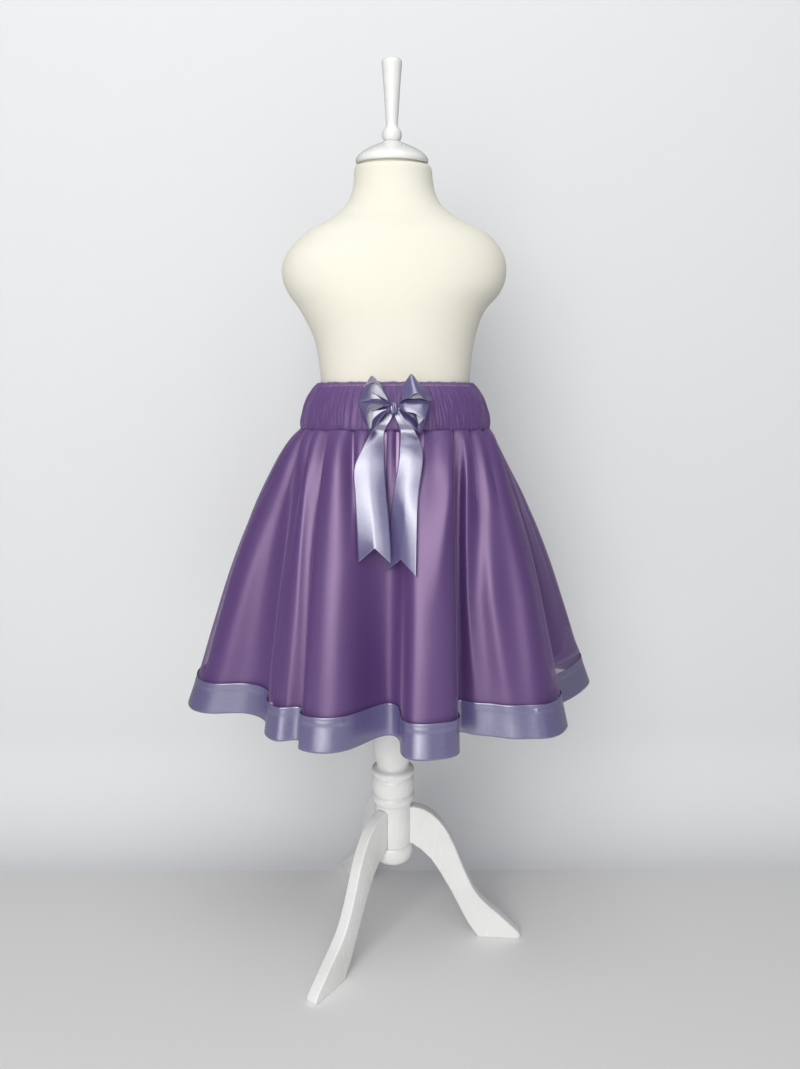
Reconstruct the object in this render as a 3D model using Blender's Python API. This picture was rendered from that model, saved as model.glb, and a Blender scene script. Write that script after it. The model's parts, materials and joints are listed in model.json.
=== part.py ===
"""A gathered tulle skirt on a child's dress form with a turned tripod stand.

The sheer overskirt hangs over a satin lining from a wide gathered waistband. A satin ribbon is sewn
along its lower edge, and a bow of the same ribbon sits at the front of the waistband. The limbless
form under it has a domed neck cap with a finial, and stands on a turned column with three legs.

Metres, +Z up, the front towards -Y. A turn is an angle round the skirt: 0 at the front, 90 at +X.
"""
import math
from bisect import bisect_right
from collections import namedtuple

import bmesh
import bpy
from mathutils import Vector

MM = 0.001

# Clearances and walls
GAP = 0.3 * MM          # between pieces that touch
WALL = 1.25 * MM        # a cloth wall, measured level, which is 1 mm across its slope
RIBBON_WALL = 1.1 * MM

# Heights of the skirt's edges above the floor
SEAM_Z = 0.681          # where the skirt is gathered into the waistband
RIBBON_TOP_Z = 0.371
LINING_HEM_Z = 0.367
TULLE_EDGE_Z = 0.3626   # the tulle's raw edge, behind the ribbon
HEM_Z = 0.333           # the ribbon's lower edge
SKIRT_FALL = SEAM_Z - HEM_Z

# Round the skirt
STRIP_TURN = 3.6        # degrees of the waist taken by one strip of the wall
FEWEST_STRIPS = 3       # on one side of a fold
GATHERS = 25
GATHER_DEPTH = 3.0 * MM
GATHER_WANDER = 0.9     # how unevenly the gathers are spaced, in radians
LINING_GATHER = 0.4     # the lining's share of the tulle's gathers
LINING_CLEAR = 0.6 * MM
LINING_EASE = 3.0 * MM   # how much further inside the tulle it hangs at the hem
LINING_SINK = 11 * MM   # how far the lining's crests hang inside the tulle's at the hem
LINING_SINK_POWER = 2.5

# Form and stand
LEG_TURNS = {"leg_right": 85.0, "leg_front_left": -35.0, "leg_back_left": 205.0}
LEG_THICK = 15 * MM
LEG_EDGE = 1.6 * MM
SLOT_DEPTH_R = 20 * MM  # the legs' inner ends stand in slots cut in to this radius
SLOT_TOP_Z = 0.1845
HUB_BOTTOM_Z = 0.131
CAP_TILT = 7.0          # the neck cap and finial lean forward by this many degrees
CAP_BASE_Z = 0.9896

# Each row is one fold of the skirt at the hem: its crest, then the valley after it. Round above 1 makes
# the crest broad and the valley narrow, and steep near 1 makes the side between them stand radially.
Fold = namedtuple("Fold", "crest_turn crest_r rise_round rise_steep valley_turn valley_r fall_round fall_steep")
FOLDS = (
    Fold(-91.0, 263, 1.0, 0.3, -62.0, 173, 1.10, 0.75),
    Fold(-45.0, 193, 1.0, 0.2, -37.5, 174, 1.00, 0.40),
    Fold(-30.5, 193, 1.2, 0.4, -1.5, 131, 1.20, 0.20),
    Fold(14.0, 196, 1.6, 0.7, 29.5, 138, 1.90, 0.45),
    Fold(60.0, 230, 1.1, 0.0, 73.0, 203, 1.50, 0.75),
    Fold(105.0, 280, 0.8, 0.0, 127.0, 214, 1.20, 0.30),
    Fold(143.0, 212, 1.1, 0.3, 158.0, 172, 1.30, 0.50),
    Fold(176.0, 198, 1.3, 0.5, 191.0, 166, 1.00, 0.30),
    Fold(207.0, 204, 1.2, 0.4, 221.0, 176, 1.40, 0.50),
    Fold(238.0, 226, 1.0, 0.3, 251.0, 208, 1.00, 0.40),
)

# How far the cloth has spread from the seam (0) to the hem (1), by its fall
SPREAD = (
    (0.000, 0.00),
    (0.060, 0.11),
    (0.125, 0.21),
    (0.263, 0.39),
    (0.466, 0.59),
    (0.697, 0.77),
    (0.876, 0.90),
    (1.000, 1.00),
)

# How strongly the gathers stand, by the fall
GATHER_FADE = (
    (0.00, 0.35),
    (0.05, 1.00),
    (0.12, 0.80),
    (0.26, 0.35),
    (0.45, 0.00),
    (1.00, 0.00),
)
TULLE_FALLS = (0.0, 0.035, 0.09, 0.17, 0.29, 0.47, 0.70)
LINING_FALLS = (0.0, 0.05, 0.14, 0.30, 0.55)

# Sections of the torso, bottom to top: height, half width, half depth, middle x, squareness, slope to the back
TORSO = (
    (0.530, 62.0, 50.0, 3.6, 2.0, 0.00),
    (0.536, 80.0, 64.0, 3.6, 2.1, 0.00),
    (0.556, 95.0, 76.0, 3.6, 2.2, 0.00),
    (0.600, 103.0, 83.0, 3.6, 2.2, 0.00),
    (0.645, 102.0, 82.0, 3.6, 2.2, 0.00),
    (0.681, 97.0, 78.0, 3.6, 2.2, 0.00),
    (0.705, 93.6, 75.0, 3.6, 2.2, 0.00),
    (0.733, 90.6, 73.0, 3.6, 2.2, 0.00),
    (0.760, 92.6, 74.0, 3.3, 2.2, 0.00),
    (0.787, 97.0, 76.5, 2.7, 2.2, 0.00),
    (0.813, 106.8, 79.0, 0.7, 2.2, 0.00),
    (0.826, 114.6, 79.5, 0.8, 2.2, 0.00),
    (0.839, 125.5, 79.0, 2.0, 2.2, 0.00),
    (0.853, 132.2, 78.0, 2.3, 2.2, 0.00),
    (0.869, 134.1, 76.0, 2.5, 2.2, 0.00),
    (0.885, 129.5, 73.0, 3.5, 2.2, 0.00),
    (0.900, 118.0, 68.0, 4.8, 2.2, 0.00),
    (0.909, 108.0, 64.0, 5.0, 2.2, 0.00),
    (0.9165, 93.0, 59.5, 4.1, 2.2, 0.00),
    (0.927, 74.0, 54.0, 3.0, 2.1, 0.02),
    (0.942, 56.9, 49.0, 2.0, 2.0, 0.05),
    (0.958, 49.0, 45.5, 1.6, 2.0, 0.09),
    (0.972, 46.4, 44.0, 1.5, 2.0, 0.12),
    (0.9862, 44.0, 42.5, 1.0, 2.0, 0.1219),
    (0.9868, 37.0, 36.0, 0.5, 2.0, 0.1219),
    (0.9893, 37.0, 36.0, 0.0, 2.0, 0.1219),
)
TORSO_STEPS = 38

# The waistband's two layers: height, and how far each face stands off the torso
SATIN_OUTER = ((0.6815, 13.5), (0.692, 13.5), (0.708, 12.0), (0.722, 8.0), (0.7305, 3.0))
SATIN_INNER = ((0.7305, 1.0), (0.708, 0.9), (0.6815, 0.9))
CASING_OUTER = ((0.6813, 16.0), (0.689, 20.0), (0.704, 19.3), (0.720, 15.0), (0.731, 8.2), (0.7355, 3.4))
SATIN_STEPS = 60
SEAM_OFF = 16.0

# Turned profiles, bottom to top: radius and height in millimetres
CAP_PROFILE = (
    (41.5, 989.6), (42.5, 990.4), (42.5, 993.2), (41.2, 996.0), (38.0, 999.6), (32.3, 1003.4),
    (24.0, 1007.4), (15.0, 1010.8), (10.5, 1012.9),
)
FINIAL_PROFILE = (
    (9.0, 1013.2), (10.6, 1015.6), (11.5, 1019.9), (10.4, 1024.0), (7.6, 1027.6), (6.9, 1030.4),
    (7.3, 1036.0), (8.6, 1056.0), (10.1, 1078.0), (11.5, 1092.0), (11.2, 1096.4), (8.6, 1098.6),
)
COLUMN_PROFILE = (
    (24.0, 131.0), (24.6, 131.8), (24.6, 188.0), (25.8, 189.2), (28.3, 194.6), (28.4, 198.4), (27.2, 201.4),
    (25.8, 202.3), (27.2, 204.0), (27.9, 209.0), (27.9, 219.0), (27.2, 224.8), (25.8, 226.6), (27.4, 228.4),
    (28.4, 232.3), (27.4, 236.0), (22.6, 238.2), (21.2, 241.0), (23.4, 249.5), (25.6, 259.5), (26.5, 272.0),
    (25.6, 300.0), (21.5, 360.0), (17.5, 430.0), (16.0, 506.0), (30.0, 513.0), (30.0, 529.7),
)
KNOB_PROFILE = (
    (10.0, 103.0), (17.0, 104.6), (23.2, 109.6), (26.2, 117.0), (26.4, 122.6), (25.4, 128.0), (24.0, 130.7),
)

# A leg seen from its side: radius and height in millimetres, from the hub out to the foot
LEG_TOP = (
    (20, 183.2), (28, 183.8), (43, 180.5), (61, 167), (76, 145), (89, 114), (101, 85), (117, 58), (142, 35),
    (170, 9), (172, 5),
)
LEG_UNDER = ((115, 0), (107, 12), (96, 31), (78, 67), (58, 101), (43, 119), (31, 128), (27.4, 131.4), (20, 132))
LEG_FOOT_R = 171.0

# The bow. A loop's outer fold runs between two corners, and its pinched inner end meets the knot.
BOW_X = 1.5 * MM
BOW_Z = 705.5 * MM
BOW_OFF = 3.0 * MM       # from the casing's fullest part to the back of the loops, with the tails between
KNOT_HALF = (5.0 * MM, 5.4 * MM, 7.0 * MM)
KNOT_SINK = 4.3 * MM     # how far the knot's back reaches behind the loops
# name, top corner x z, bottom corner x z, inner end x, inner end's top and bottom z
LOOPS = (
    ("bow_loop_upper_left", -22.0, 741.0, -37.5, 712.8, -3.7, 711.5, 706.4),
    ("bow_loop_upper_right", 21.0, 742.5, 45.5, 712.8, 6.7, 711.5, 706.4),
    ("bow_loop_lower_left", -36.5, 711.3, -24.0, 679.5, -3.7, 705.2, 700.0),
    ("bow_loop_lower_right", 45.0, 711.3, 30.5, 678.5, 6.7, 705.2, 700.0),
)
# along the loop from the knot (0) to the outer fold (1), and how far in front of the loop's back
LOOP_PATH = (
    (0.00, 4.4), (0.30, 7.6), (0.62, 9.6), (0.88, 8.6), (1.00, 5.2), (0.90, 1.6), (0.62, 0.5), (0.30, 1.2),
    (0.00, 2.4),
)
LOOP_BULGE = 1.5
ACROSS = (0.0, 0.25, 0.5, 0.75, 1.0)
# Tails from the knot down: height, left edge x, right edge x, left edge's and right edge's clearance
TAILS = {
    "bow_tail_left": (
        (0.7065, -5.0, 0.9, 1.0, 1.0),
        (0.6960, -9.0, -0.5, 1.0, 1.0),
        (0.6880, -17.0, -5.0, 1.0, 1.0),
        (0.6800, -23.5, -9.0, 2.5, 2.5),
        (0.6640, -32.0, -9.0, 4.0, 5.0),
        (0.6400, -43.0, -8.5, 4.5, 7.0),
        (0.6100, -42.0, -6.5, 4.5, 10.0),
        (0.5750, -40.0, -3.5, 4.5, 17.0),
        (0.5365, -38.0, -1.5, 3.5, 25.0),
    ),
    "bow_tail_right": (
        (0.7065, 1.7, 8.0, 1.0, 1.0),
        (0.6960, 3.0, 12.5, 1.0, 1.0),
        (0.6880, 6.5, 20.0, 1.0, 1.0),
        (0.6800, 9.0, 25.5, 2.5, 2.5),
        (0.6640, 8.5, 33.0, 5.0, 5.0),
        (0.6480, 7.0, 34.0, 6.5, 5.5),
        (0.6100, 0.5, 29.0, 7.0, 3.5),
        (0.5750, -3.0, 27.0, 8.0, 4.0),
        (0.5245, -8.0, 25.5, 7.0, 4.0),
    ),
}
TAIL_NOTCH_Z = 17 * MM
TAIL_ROLL = 2.0 * MM     # how far a tail's middle bows forward


def smooth(rows, key):
    """A table's other columns at a key, on a smooth curve through its rows."""
    keys = [row[0] for row in rows]
    i = max(0, min(len(rows) - 2, bisect_right(keys, key) - 1))
    width = keys[i + 1] - keys[i]
    u = min(1.0, max(0.0, (key - keys[i]) / width))

    def slope(k, column):
        low, high = max(0, k - 1), min(len(rows) - 1, k + 1)
        return (rows[high][column] - rows[low][column]) / (keys[high] - keys[low])

    values = []
    for column in range(1, len(rows[0])):
        a, b = rows[i][column], rows[i + 1][column]
        start, end = slope(i, column) * width, slope(i + 1, column) * width
        values.append((2 * u**3 - 3 * u**2 + 1) * a + (u**3 - 2 * u**2 + u) * start
                      + (3 * u**2 - 2 * u**3) * b + (u**3 - u**2) * end)
    return values


def material(name, colour, roughness):
    """A Principled material of one colour."""
    made = bpy.data.materials.new(name)
    made.use_nodes = True
    shader = made.node_tree.nodes["Principled BSDF"]
    shader.inputs["Base Color"].default_value = (*colour, 1.0)
    shader.inputs["Roughness"].default_value = roughness
    shader.inputs["Metallic"].default_value = 0.0
    made.diffuse_color = (*colour, 1.0)
    return made


def add_object(name, points, faces, finish):
    """A mesh object with its faces turned outwards and smooth shading."""
    mesh = bpy.data.meshes.new(name)
    mesh.from_pydata([tuple(point) for point in points], [], faces)
    shape = bmesh.new()
    shape.from_mesh(mesh)
    bmesh.ops.recalc_face_normals(shape, faces=shape.faces)
    shape.to_mesh(mesh)
    shape.free()
    mesh.materials.append(finish)
    mesh.shade_smooth()
    made = bpy.data.objects.new(name, mesh)
    bpy.context.scene.collection.objects.link(made)
    return made


def ring_faces(rings, steps, wrap):
    """Quads between rings of points, and back to the first ring when wrap is set."""
    count = len(rings)
    faces = []
    for r in range(count if wrap else count - 1):
        above = (r + 1) % count
        for i in range(steps):
            j = (i + 1) % steps
            faces.append((r * steps + i, r * steps + j, above * steps + j, above * steps + i))
    return faces


def add_loft(name, rings, finish):
    """A solid through rings from bottom to top, closed by flat ends."""
    steps = len(rings[0])
    faces = ring_faces(rings, steps, wrap=False)
    top = (len(rings) - 1) * steps
    faces.append(tuple(reversed(range(steps))))
    faces.append(tuple(range(top, top + steps)))
    return add_object(name, [p for ring in rings for p in ring], faces, finish)


def add_tube_wall(name, rings, finish):
    """A wall round a hollow: its rings run up the outside and down the inside."""
    faces = ring_faces(rings, len(rings[0]), wrap=True)
    return add_object(name, [p for ring in rings for p in ring], faces, finish)


def add_strap(name, grid, thickness, finish):
    """A wall on a grid of points, half its thickness to each side."""
    rows, columns = len(grid), len(grid[0])
    front, back = [], []
    for r in range(rows):
        for c in range(columns):
            along = grid[min(r + 1, rows - 1)][c] - grid[max(r - 1, 0)][c]
            across = grid[r][min(c + 1, columns - 1)] - grid[r][max(c - 1, 0)]
            out = across.cross(along).normalized()
            front.append(grid[r][c] + out * thickness / 2)
            back.append(grid[r][c] - out * thickness / 2)
    faces = []
    size = rows * columns
    for r in range(rows - 1):
        for c in range(columns - 1):
            a, b = r * columns + c, (r + 1) * columns + c
            faces.append((a, a + 1, b + 1, b))
            faces.append((size + a, size + b, size + b + 1, size + a + 1))
    edge = [c for c in range(columns)]
    edge += [r * columns + columns - 1 for r in range(1, rows)]
    edge += [(rows - 1) * columns + c for c in range(columns - 2, -1, -1)]
    edge += [r * columns for r in range(rows - 2, 0, -1)]
    for i, a in enumerate(edge):
        b = edge[(i + 1) % len(edge)]
        faces.append((a, b, size + b, size + a))
    return add_object(name, front + back, faces, finish)


def oval(half_width, half_depth, turn, power):
    """A point of a rounded oval in plan, at a turn in degrees from the front."""
    side, ahead = math.sin(math.radians(turn)), math.cos(math.radians(turn))
    reach = (abs(side / half_width) ** power + abs(ahead / half_depth) ** power) ** (-1 / power)
    return Vector((reach * side, -reach * ahead))


def torso_point(height, off, turn):
    """A point of the torso's section at a height, moved out by off."""
    half_width, half_depth, middle_x, power, slope = smooth(TORSO, height)
    flat = oval((half_width + off) * MM, (half_depth + off) * MM, turn, power)
    return Vector((flat.x + middle_x * MM, flat.y, height + slope * flat.y))


def fold_side(crest_turn, crest_r, valley_turn, valley_r, roundness, steep, way):
    """(waist turn, hem point) for each strip on one side of a fold, from the crest to just before the valley."""
    count = max(FEWEST_STRIPS, round(abs(valley_turn - crest_turn) / STRIP_TURN))
    strips = []
    for i in range(count):
        u = i / count if way > 0 else (i + 1) / count
        v = u**roundness
        turn = crest_turn + (valley_turn - crest_turn) * (u + steep * math.sin(2 * math.pi * v) / (2 * math.pi))
        radius = crest_r + (valley_r - crest_r) * (1 - math.cos(math.pi * v)) / 2
        angle = math.radians(turn)
        hem = Vector((radius * MM * math.sin(angle), -radius * MM * math.cos(angle)))
        strips.append((crest_turn + (valley_turn - crest_turn) * u, hem))
    return strips if way > 0 else list(reversed(strips))


def skirt_strips():
    """(waist turn, hem point) for every strip round the skirt, in the order of the folds."""
    strips = []
    for i, fold in enumerate(FOLDS):
        last = FOLDS[i - 1]
        start = last.valley_turn - (360.0 if i == 0 else 0.0)
        strips += fold_side(fold.crest_turn, fold.crest_r, start, last.valley_r,
                            fold.rise_round, fold.rise_steep, way=-1)
        strips += fold_side(fold.crest_turn, fold.crest_r, fold.valley_turn, fold.valley_r,
                            fold.fall_round, fold.fall_steep, way=1)
    return strips


def gather_wave(turn):
    """The gathers' height at a turn, from -1 to 1, unevenly spaced."""
    angle = math.radians(turn)
    return math.cos(GATHERS * angle + GATHER_WANDER * math.sin(3 * angle))


def moved_in(ring, inset, sink):
    """A level ring moved in by inset, and by sink more where it faces straight out."""
    moved = []
    count = len(ring)
    for i, point in enumerate(ring):
        along = (ring[(i + 1) % count] - ring[i - 1]).normalized()
        out = Vector((along.y, -along.x))
        facing = max(0.0, out.dot(point.normalized()))
        moved.append(point - out * (inset + sink * facing**2))
    return moved


def skirt_ring(fall, inset=0.0, sink=0.0, gather=1.0):
    """A ring of the skirt at a fall from the seam (0) to the hem (1)."""
    spread = smooth(SPREAD, fall)[0]
    ring = []
    for turn, hem in STRIPS:
        waist = torso_point(SEAM_Z, SEAM_OFF, turn).to_2d()
        ring.append(waist + (hem - waist) * spread)
    fade = smooth(GATHER_FADE, fall)[0] * gather * GATHER_DEPTH
    pleated = []
    for (turn, hem), point in zip(STRIPS, ring):
        pleated.append(point + point.normalized() * fade * gather_wave(turn))
    height = SEAM_Z - fall * SKIRT_FALL
    return [Vector((p.x, p.y, height)) for p in moved_in(pleated, inset, sink)]


def fall_at(height):
    """The fall that reaches a height."""
    return (SEAM_Z - height) / SKIRT_FALL


def add_tulle(finish):
    """The sheer overskirt, from the seam to its raw edge behind the ribbon."""
    falls = TULLE_FALLS + (fall_at(TULLE_EDGE_Z),)
    outside = [skirt_ring(fall) for fall in reversed(falls)]
    inside = [skirt_ring(fall, inset=WALL) for fall in falls]
    return add_tube_wall("skirt_tulle", outside + inside, finish)


def lining_ring(fall, depth):
    """A ring of the lining, a depth inside its outer face."""
    fade = smooth(GATHER_FADE, fall)[0]
    inset = WALL + LINING_CLEAR + LINING_EASE * fall + (1 - LINING_GATHER) * GATHER_DEPTH * fade + depth
    sink = LINING_SINK * fall**LINING_SINK_POWER
    return skirt_ring(fall, inset=inset, sink=sink, gather=LINING_GATHER)


def add_lining(finish):
    """The satin underskirt, which hangs inside the tulle."""
    falls = LINING_FALLS + (fall_at(LINING_HEM_Z),)
    outside = [lining_ring(fall, 0.0) for fall in reversed(falls)]
    inside = [lining_ring(fall, WALL) for fall in falls]
    return add_tube_wall("skirt_lining", outside + inside, finish)


def add_ribbon(finish):
    """The hem ribbon, on the tulle's points moved out."""
    falls = (fall_at(RIBBON_TOP_Z), fall_at(TULLE_EDGE_Z), 1.0)
    clear = 1.6 * GAP
    outside = [skirt_ring(fall, inset=-clear - RIBBON_WALL) for fall in reversed(falls)]
    inside = [skirt_ring(fall, inset=-clear) for fall in falls]
    return add_tube_wall("hem_ribbon", outside + inside, finish)


def casing_ring(height, off):
    """A ring of the gathered tulle casing, on the skirt's strips."""
    ripple = 0.30 * GATHER_DEPTH / MM
    return [torso_point(height, off + ripple * gather_wave(turn), turn) for turn, hem in STRIPS]


def add_waistband(satin, tulle):
    """The satin band with its elastic, and the puffed tulle casing over it."""
    turns = [360.0 * i / SATIN_STEPS for i in range(SATIN_STEPS)]
    rings = [[torso_point(height, off, turn) for turn in turns] for height, off in SATIN_OUTER + SATIN_INNER]
    add_tube_wall("waistband_satin", rings, satin)
    outside = [casing_ring(height, off) for height, off in CASING_OUTER]
    inside = []
    for height, off in reversed(CASING_OUTER):
        lowered = height if height < SEAM_Z + 1 * MM else height - 1.1 * MM
        inside.append(casing_ring(lowered, off - WALL / MM))
    add_tube_wall("waistband_tulle", outside + inside, tulle)


def add_torso(finish):
    """The padded torso, from its flat base inside the skirt to the neck."""
    turns = [360.0 * i / TORSO_STEPS for i in range(TORSO_STEPS)]
    rings = [[torso_point(row[0], 0.0, turn) for turn in turns] for row in TORSO]
    return add_loft("form_torso", rings, finish)


def add_turned(name, profile, steps, finish, tilt=0.0, pivot_z=0.0):
    """A turned piece on the column's axis, leaning forward by tilt degrees about a pivot height."""
    rings = []
    slope = math.sin(math.radians(tilt))
    for radius, height in profile:
        ring = []
        for i in range(steps):
            angle = 2 * math.pi * i / steps
            x, y = radius * MM * math.sin(angle), -radius * MM * math.cos(angle)
            lift = height * MM - pivot_z
            ring.append(Vector((x, y - lift * slope, pivot_z + lift + y * slope)))
        rings.append(ring)
    return add_loft(name, rings, finish)


def leg_cutter(turn):
    """The arched slot that a leg's inner end stands in."""
    half = LEG_THICK / 2 + GAP
    spring = SLOT_TOP_Z + GAP - half * 0.45
    outline = [(-half, HUB_BOTTOM_Z - 5 * MM)]
    for i in range(7):
        angle = math.pi * (1 - i / 6)
        outline.append((half * math.cos(angle), spring + 0.45 * half * math.sin(angle)))
    outline.append((half, HUB_BOTTOM_Z - 5 * MM))
    away = Vector((math.sin(math.radians(turn)), -math.cos(math.radians(turn)), 0.0))
    across = Vector((away.y, -away.x, 0.0))
    near, far = SLOT_DEPTH_R - GAP, 40 * MM
    points = [away * reach + across * side + Vector((0, 0, z)) for reach in (near, far) for side, z in outline]
    count = len(outline)
    faces = [(i, (i + 1) % count, count + (i + 1) % count, count + i) for i in range(count)]
    faces += [tuple(reversed(range(count))), tuple(range(count, 2 * count))]
    cutter = add_object("cutter_slot", points, faces, None)
    cutter.hide_render = True
    cutter.display_type = "WIRE"
    return cutter


def add_leg(name, turn, finish):
    """A curved leg sawn from board, with its edges eased."""
    outline = list(LEG_TOP) + [(LEG_FOOT_R, 0)] + list(LEG_UNDER)
    away = Vector((math.sin(math.radians(turn)), -math.cos(math.radians(turn)), 0.0))
    across = Vector((away.y, -away.x, 0.0))
    count = len(outline)
    points = []
    for side in (-LEG_THICK / 2, LEG_THICK / 2):
        points += [away * r * MM + across * side + Vector((0, 0, z * MM)) for r, z in outline]
    faces = [(i, (i + 1) % count, count + (i + 1) % count, count + i) for i in range(count)]
    faces += [tuple(reversed(range(count))), tuple(range(count, 2 * count))]
    leg = add_object(name, points, faces, finish)
    ease = leg.modifiers.new("eased edges", "BEVEL")
    ease.width = LEG_EDGE
    ease.segments = 1
    ease.limit_method = "ANGLE"
    ease.angle_limit = math.radians(60)
    return leg


def add_stand(finish):
    """Column, knob, neck cap, finial and the three legs."""
    column = add_turned("stand_column", COLUMN_PROFILE, 24, finish)
    for name, turn in LEG_TURNS.items():
        add_leg(name, turn, finish)
        slot = column.modifiers.new("slot", "BOOLEAN")
        slot.operation = "DIFFERENCE"
        slot.solver = "EXACT"
        slot.object = leg_cutter(turn)
    add_turned("stand_knob", KNOB_PROFILE, 22, finish)
    add_turned("neck_cap", CAP_PROFILE, 30, finish, CAP_TILT, CAP_BASE_Z)
    add_turned("neck_finial", FINIAL_PROFILE, 20, finish, CAP_TILT, CAP_BASE_Z)


def front_y(x, height):
    """The cloth's foremost y at an x and a height, on the skirt or the waistband's casing."""
    if height > SEAM_Z:
        ring = casing_ring(height, smooth(CASING_OUTER, height)[0])
    else:
        ring = skirt_ring(fall_at(height))
    ahead = []
    for i, point in enumerate(ring):
        last = ring[i - 1]
        if (last.x - x) * (point.x - x) <= 0 and last.x != point.x:
            share = (x - last.x) / (point.x - last.x)
            ahead.append(last.y + (point.y - last.y) * share)
    return min(ahead)


def add_loop(name, corners, back_y, finish):
    """One loop of the bow: out from the knot, round its outer fold and back."""
    top_x, top_z, low_x, low_z, inner_x, inner_top, inner_low = corners
    grid = []
    for reach, ahead in LOOP_PATH:
        row = []
        for share in ACROSS:
            outer = Vector((top_x + (low_x - top_x) * share, 0, top_z + (low_z - top_z) * share))
            inner = Vector((inner_x, 0, inner_top + (inner_low - inner_top) * share))
            bulge = LOOP_BULGE * math.sin(math.pi * share) * math.sin(math.pi * reach)
            point = (inner + (outer - inner) * reach) * MM
            point.y = back_y - (ahead + bulge) * MM
            row.append(point)
        grid.append(row)
    add_strap(name, grid, 0.9 * MM, finish)


def add_knot(back_y, finish):
    """The ribbon wrapped round the bow's middle, as one rounded piece."""
    half_x, half_y, half_z = KNOT_HALF
    rings = []
    for i in range(7):
        rise = math.pi * (i / 6 - 0.5) * 0.86
        ring = []
        for k in range(14):
            around = 2 * math.pi * k / 14
            ring.append(Vector((BOW_X + half_x * math.cos(rise) * math.sin(around),
                                back_y + KNOT_SINK - half_y - half_y * math.cos(rise) * math.cos(around),
                                BOW_Z + half_z * math.sin(rise))))
        rings.append(ring)
    add_loft("bow_knot", rings, finish)


def add_tail(name, rows, finish):
    """A hanging ribbon end, notched at its tip, made on the cloth's points moved out."""
    grid = []
    for i, (height, left, right, left_clear, right_clear) in enumerate(rows):
        left_y = front_y(left * MM, height) - left_clear * MM
        right_y = front_y(right * MM, height) - right_clear * MM
        roll = TAIL_ROLL * min(1.0, max(0.0, (i - 2) / 3))
        row = []
        for share in ACROSS:
            notch = TAIL_NOTCH_Z * (1 - abs(2 * share - 1)) if i == len(rows) - 1 else 0.0
            y = left_y + (right_y - left_y) * share - roll * math.sin(math.pi * share)
            row.append(Vector(((left + (right - left) * share) * MM, y, height + notch)))
        grid.append(row)
    add_strap(name, grid, 0.9 * MM, finish)


def add_bow(finish):
    """Four ribbon loops, the wrapped knot between them and two hanging tails."""
    back_y = min(front_y(BOW_X, height) for height, off in CASING_OUTER) - BOW_OFF
    for name, *corners in LOOPS:
        add_loop(name, corners, back_y, finish)
    add_knot(back_y, finish)
    for name, rows in TAILS.items():
        add_tail(name, rows, finish)


def centre_part():
    """Move everything so that the middle of the part's base is at the origin."""
    pieces = [ob for ob in bpy.context.scene.objects if ob.type == "MESH" and not ob.hide_render]
    corners = [vertex.co for ob in pieces for vertex in ob.data.vertices]
    middle_x = (min(p.x for p in corners) + max(p.x for p in corners)) / 2
    middle_y = (min(p.y for p in corners) + max(p.y for p in corners)) / 2
    for ob in bpy.context.scene.objects:
        ob.location = (-middle_x, -middle_y, 0.0)


for old in list(bpy.data.objects):
    bpy.data.objects.remove(old)

TULLE = material("sheer tulle", (0.21, 0.10, 0.36), 0.80)
SATIN = material("purple satin", (0.13, 0.05, 0.27), 0.40)
RIBBON = material("lavender satin ribbon", (0.36, 0.32, 0.62), 0.30)
JERSEY = material("cream jersey", (0.86, 0.85, 0.76), 0.85)
PAINT = material("white gloss paint", (0.82, 0.82, 0.80), 0.25)

STRIPS = skirt_strips()
add_torso(JERSEY)
add_stand(PAINT)
add_lining(SATIN)
add_tulle(TULLE)
add_ribbon(RIBBON)
add_waistband(SATIN, TULLE)
add_bow(RIBBON)
centre_part()
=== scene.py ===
"""The looks of a gathered tulle skirt on a child's dress form with a turned tripod stand.

Metres, +Z up, the front towards -Y. A turn is an angle round the skirt: 0 at the front, 90 at +X.
A fall is a share of the way down the skirt: 0 at the waist seam, 1 at the ribbon's lower edge.
"""
import json
import math

import bpy
import numpy as np
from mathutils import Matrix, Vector

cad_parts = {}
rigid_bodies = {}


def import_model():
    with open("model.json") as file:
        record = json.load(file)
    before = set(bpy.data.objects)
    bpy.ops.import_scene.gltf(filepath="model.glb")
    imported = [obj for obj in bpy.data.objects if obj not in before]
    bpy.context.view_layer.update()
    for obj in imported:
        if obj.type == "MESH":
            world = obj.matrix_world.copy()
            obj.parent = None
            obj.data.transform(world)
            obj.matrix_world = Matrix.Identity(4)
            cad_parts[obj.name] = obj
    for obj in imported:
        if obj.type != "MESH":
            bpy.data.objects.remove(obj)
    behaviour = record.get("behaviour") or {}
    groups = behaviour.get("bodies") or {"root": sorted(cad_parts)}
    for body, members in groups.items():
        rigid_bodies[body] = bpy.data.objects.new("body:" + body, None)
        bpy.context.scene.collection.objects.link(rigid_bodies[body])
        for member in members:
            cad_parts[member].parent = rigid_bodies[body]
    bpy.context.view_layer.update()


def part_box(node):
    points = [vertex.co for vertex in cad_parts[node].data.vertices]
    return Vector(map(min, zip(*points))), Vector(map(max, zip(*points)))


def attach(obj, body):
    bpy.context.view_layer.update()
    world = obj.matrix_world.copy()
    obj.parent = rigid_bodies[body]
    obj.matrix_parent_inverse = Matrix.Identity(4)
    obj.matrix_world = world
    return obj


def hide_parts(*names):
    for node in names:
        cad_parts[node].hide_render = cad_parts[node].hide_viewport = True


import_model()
MM = 0.001

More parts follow.
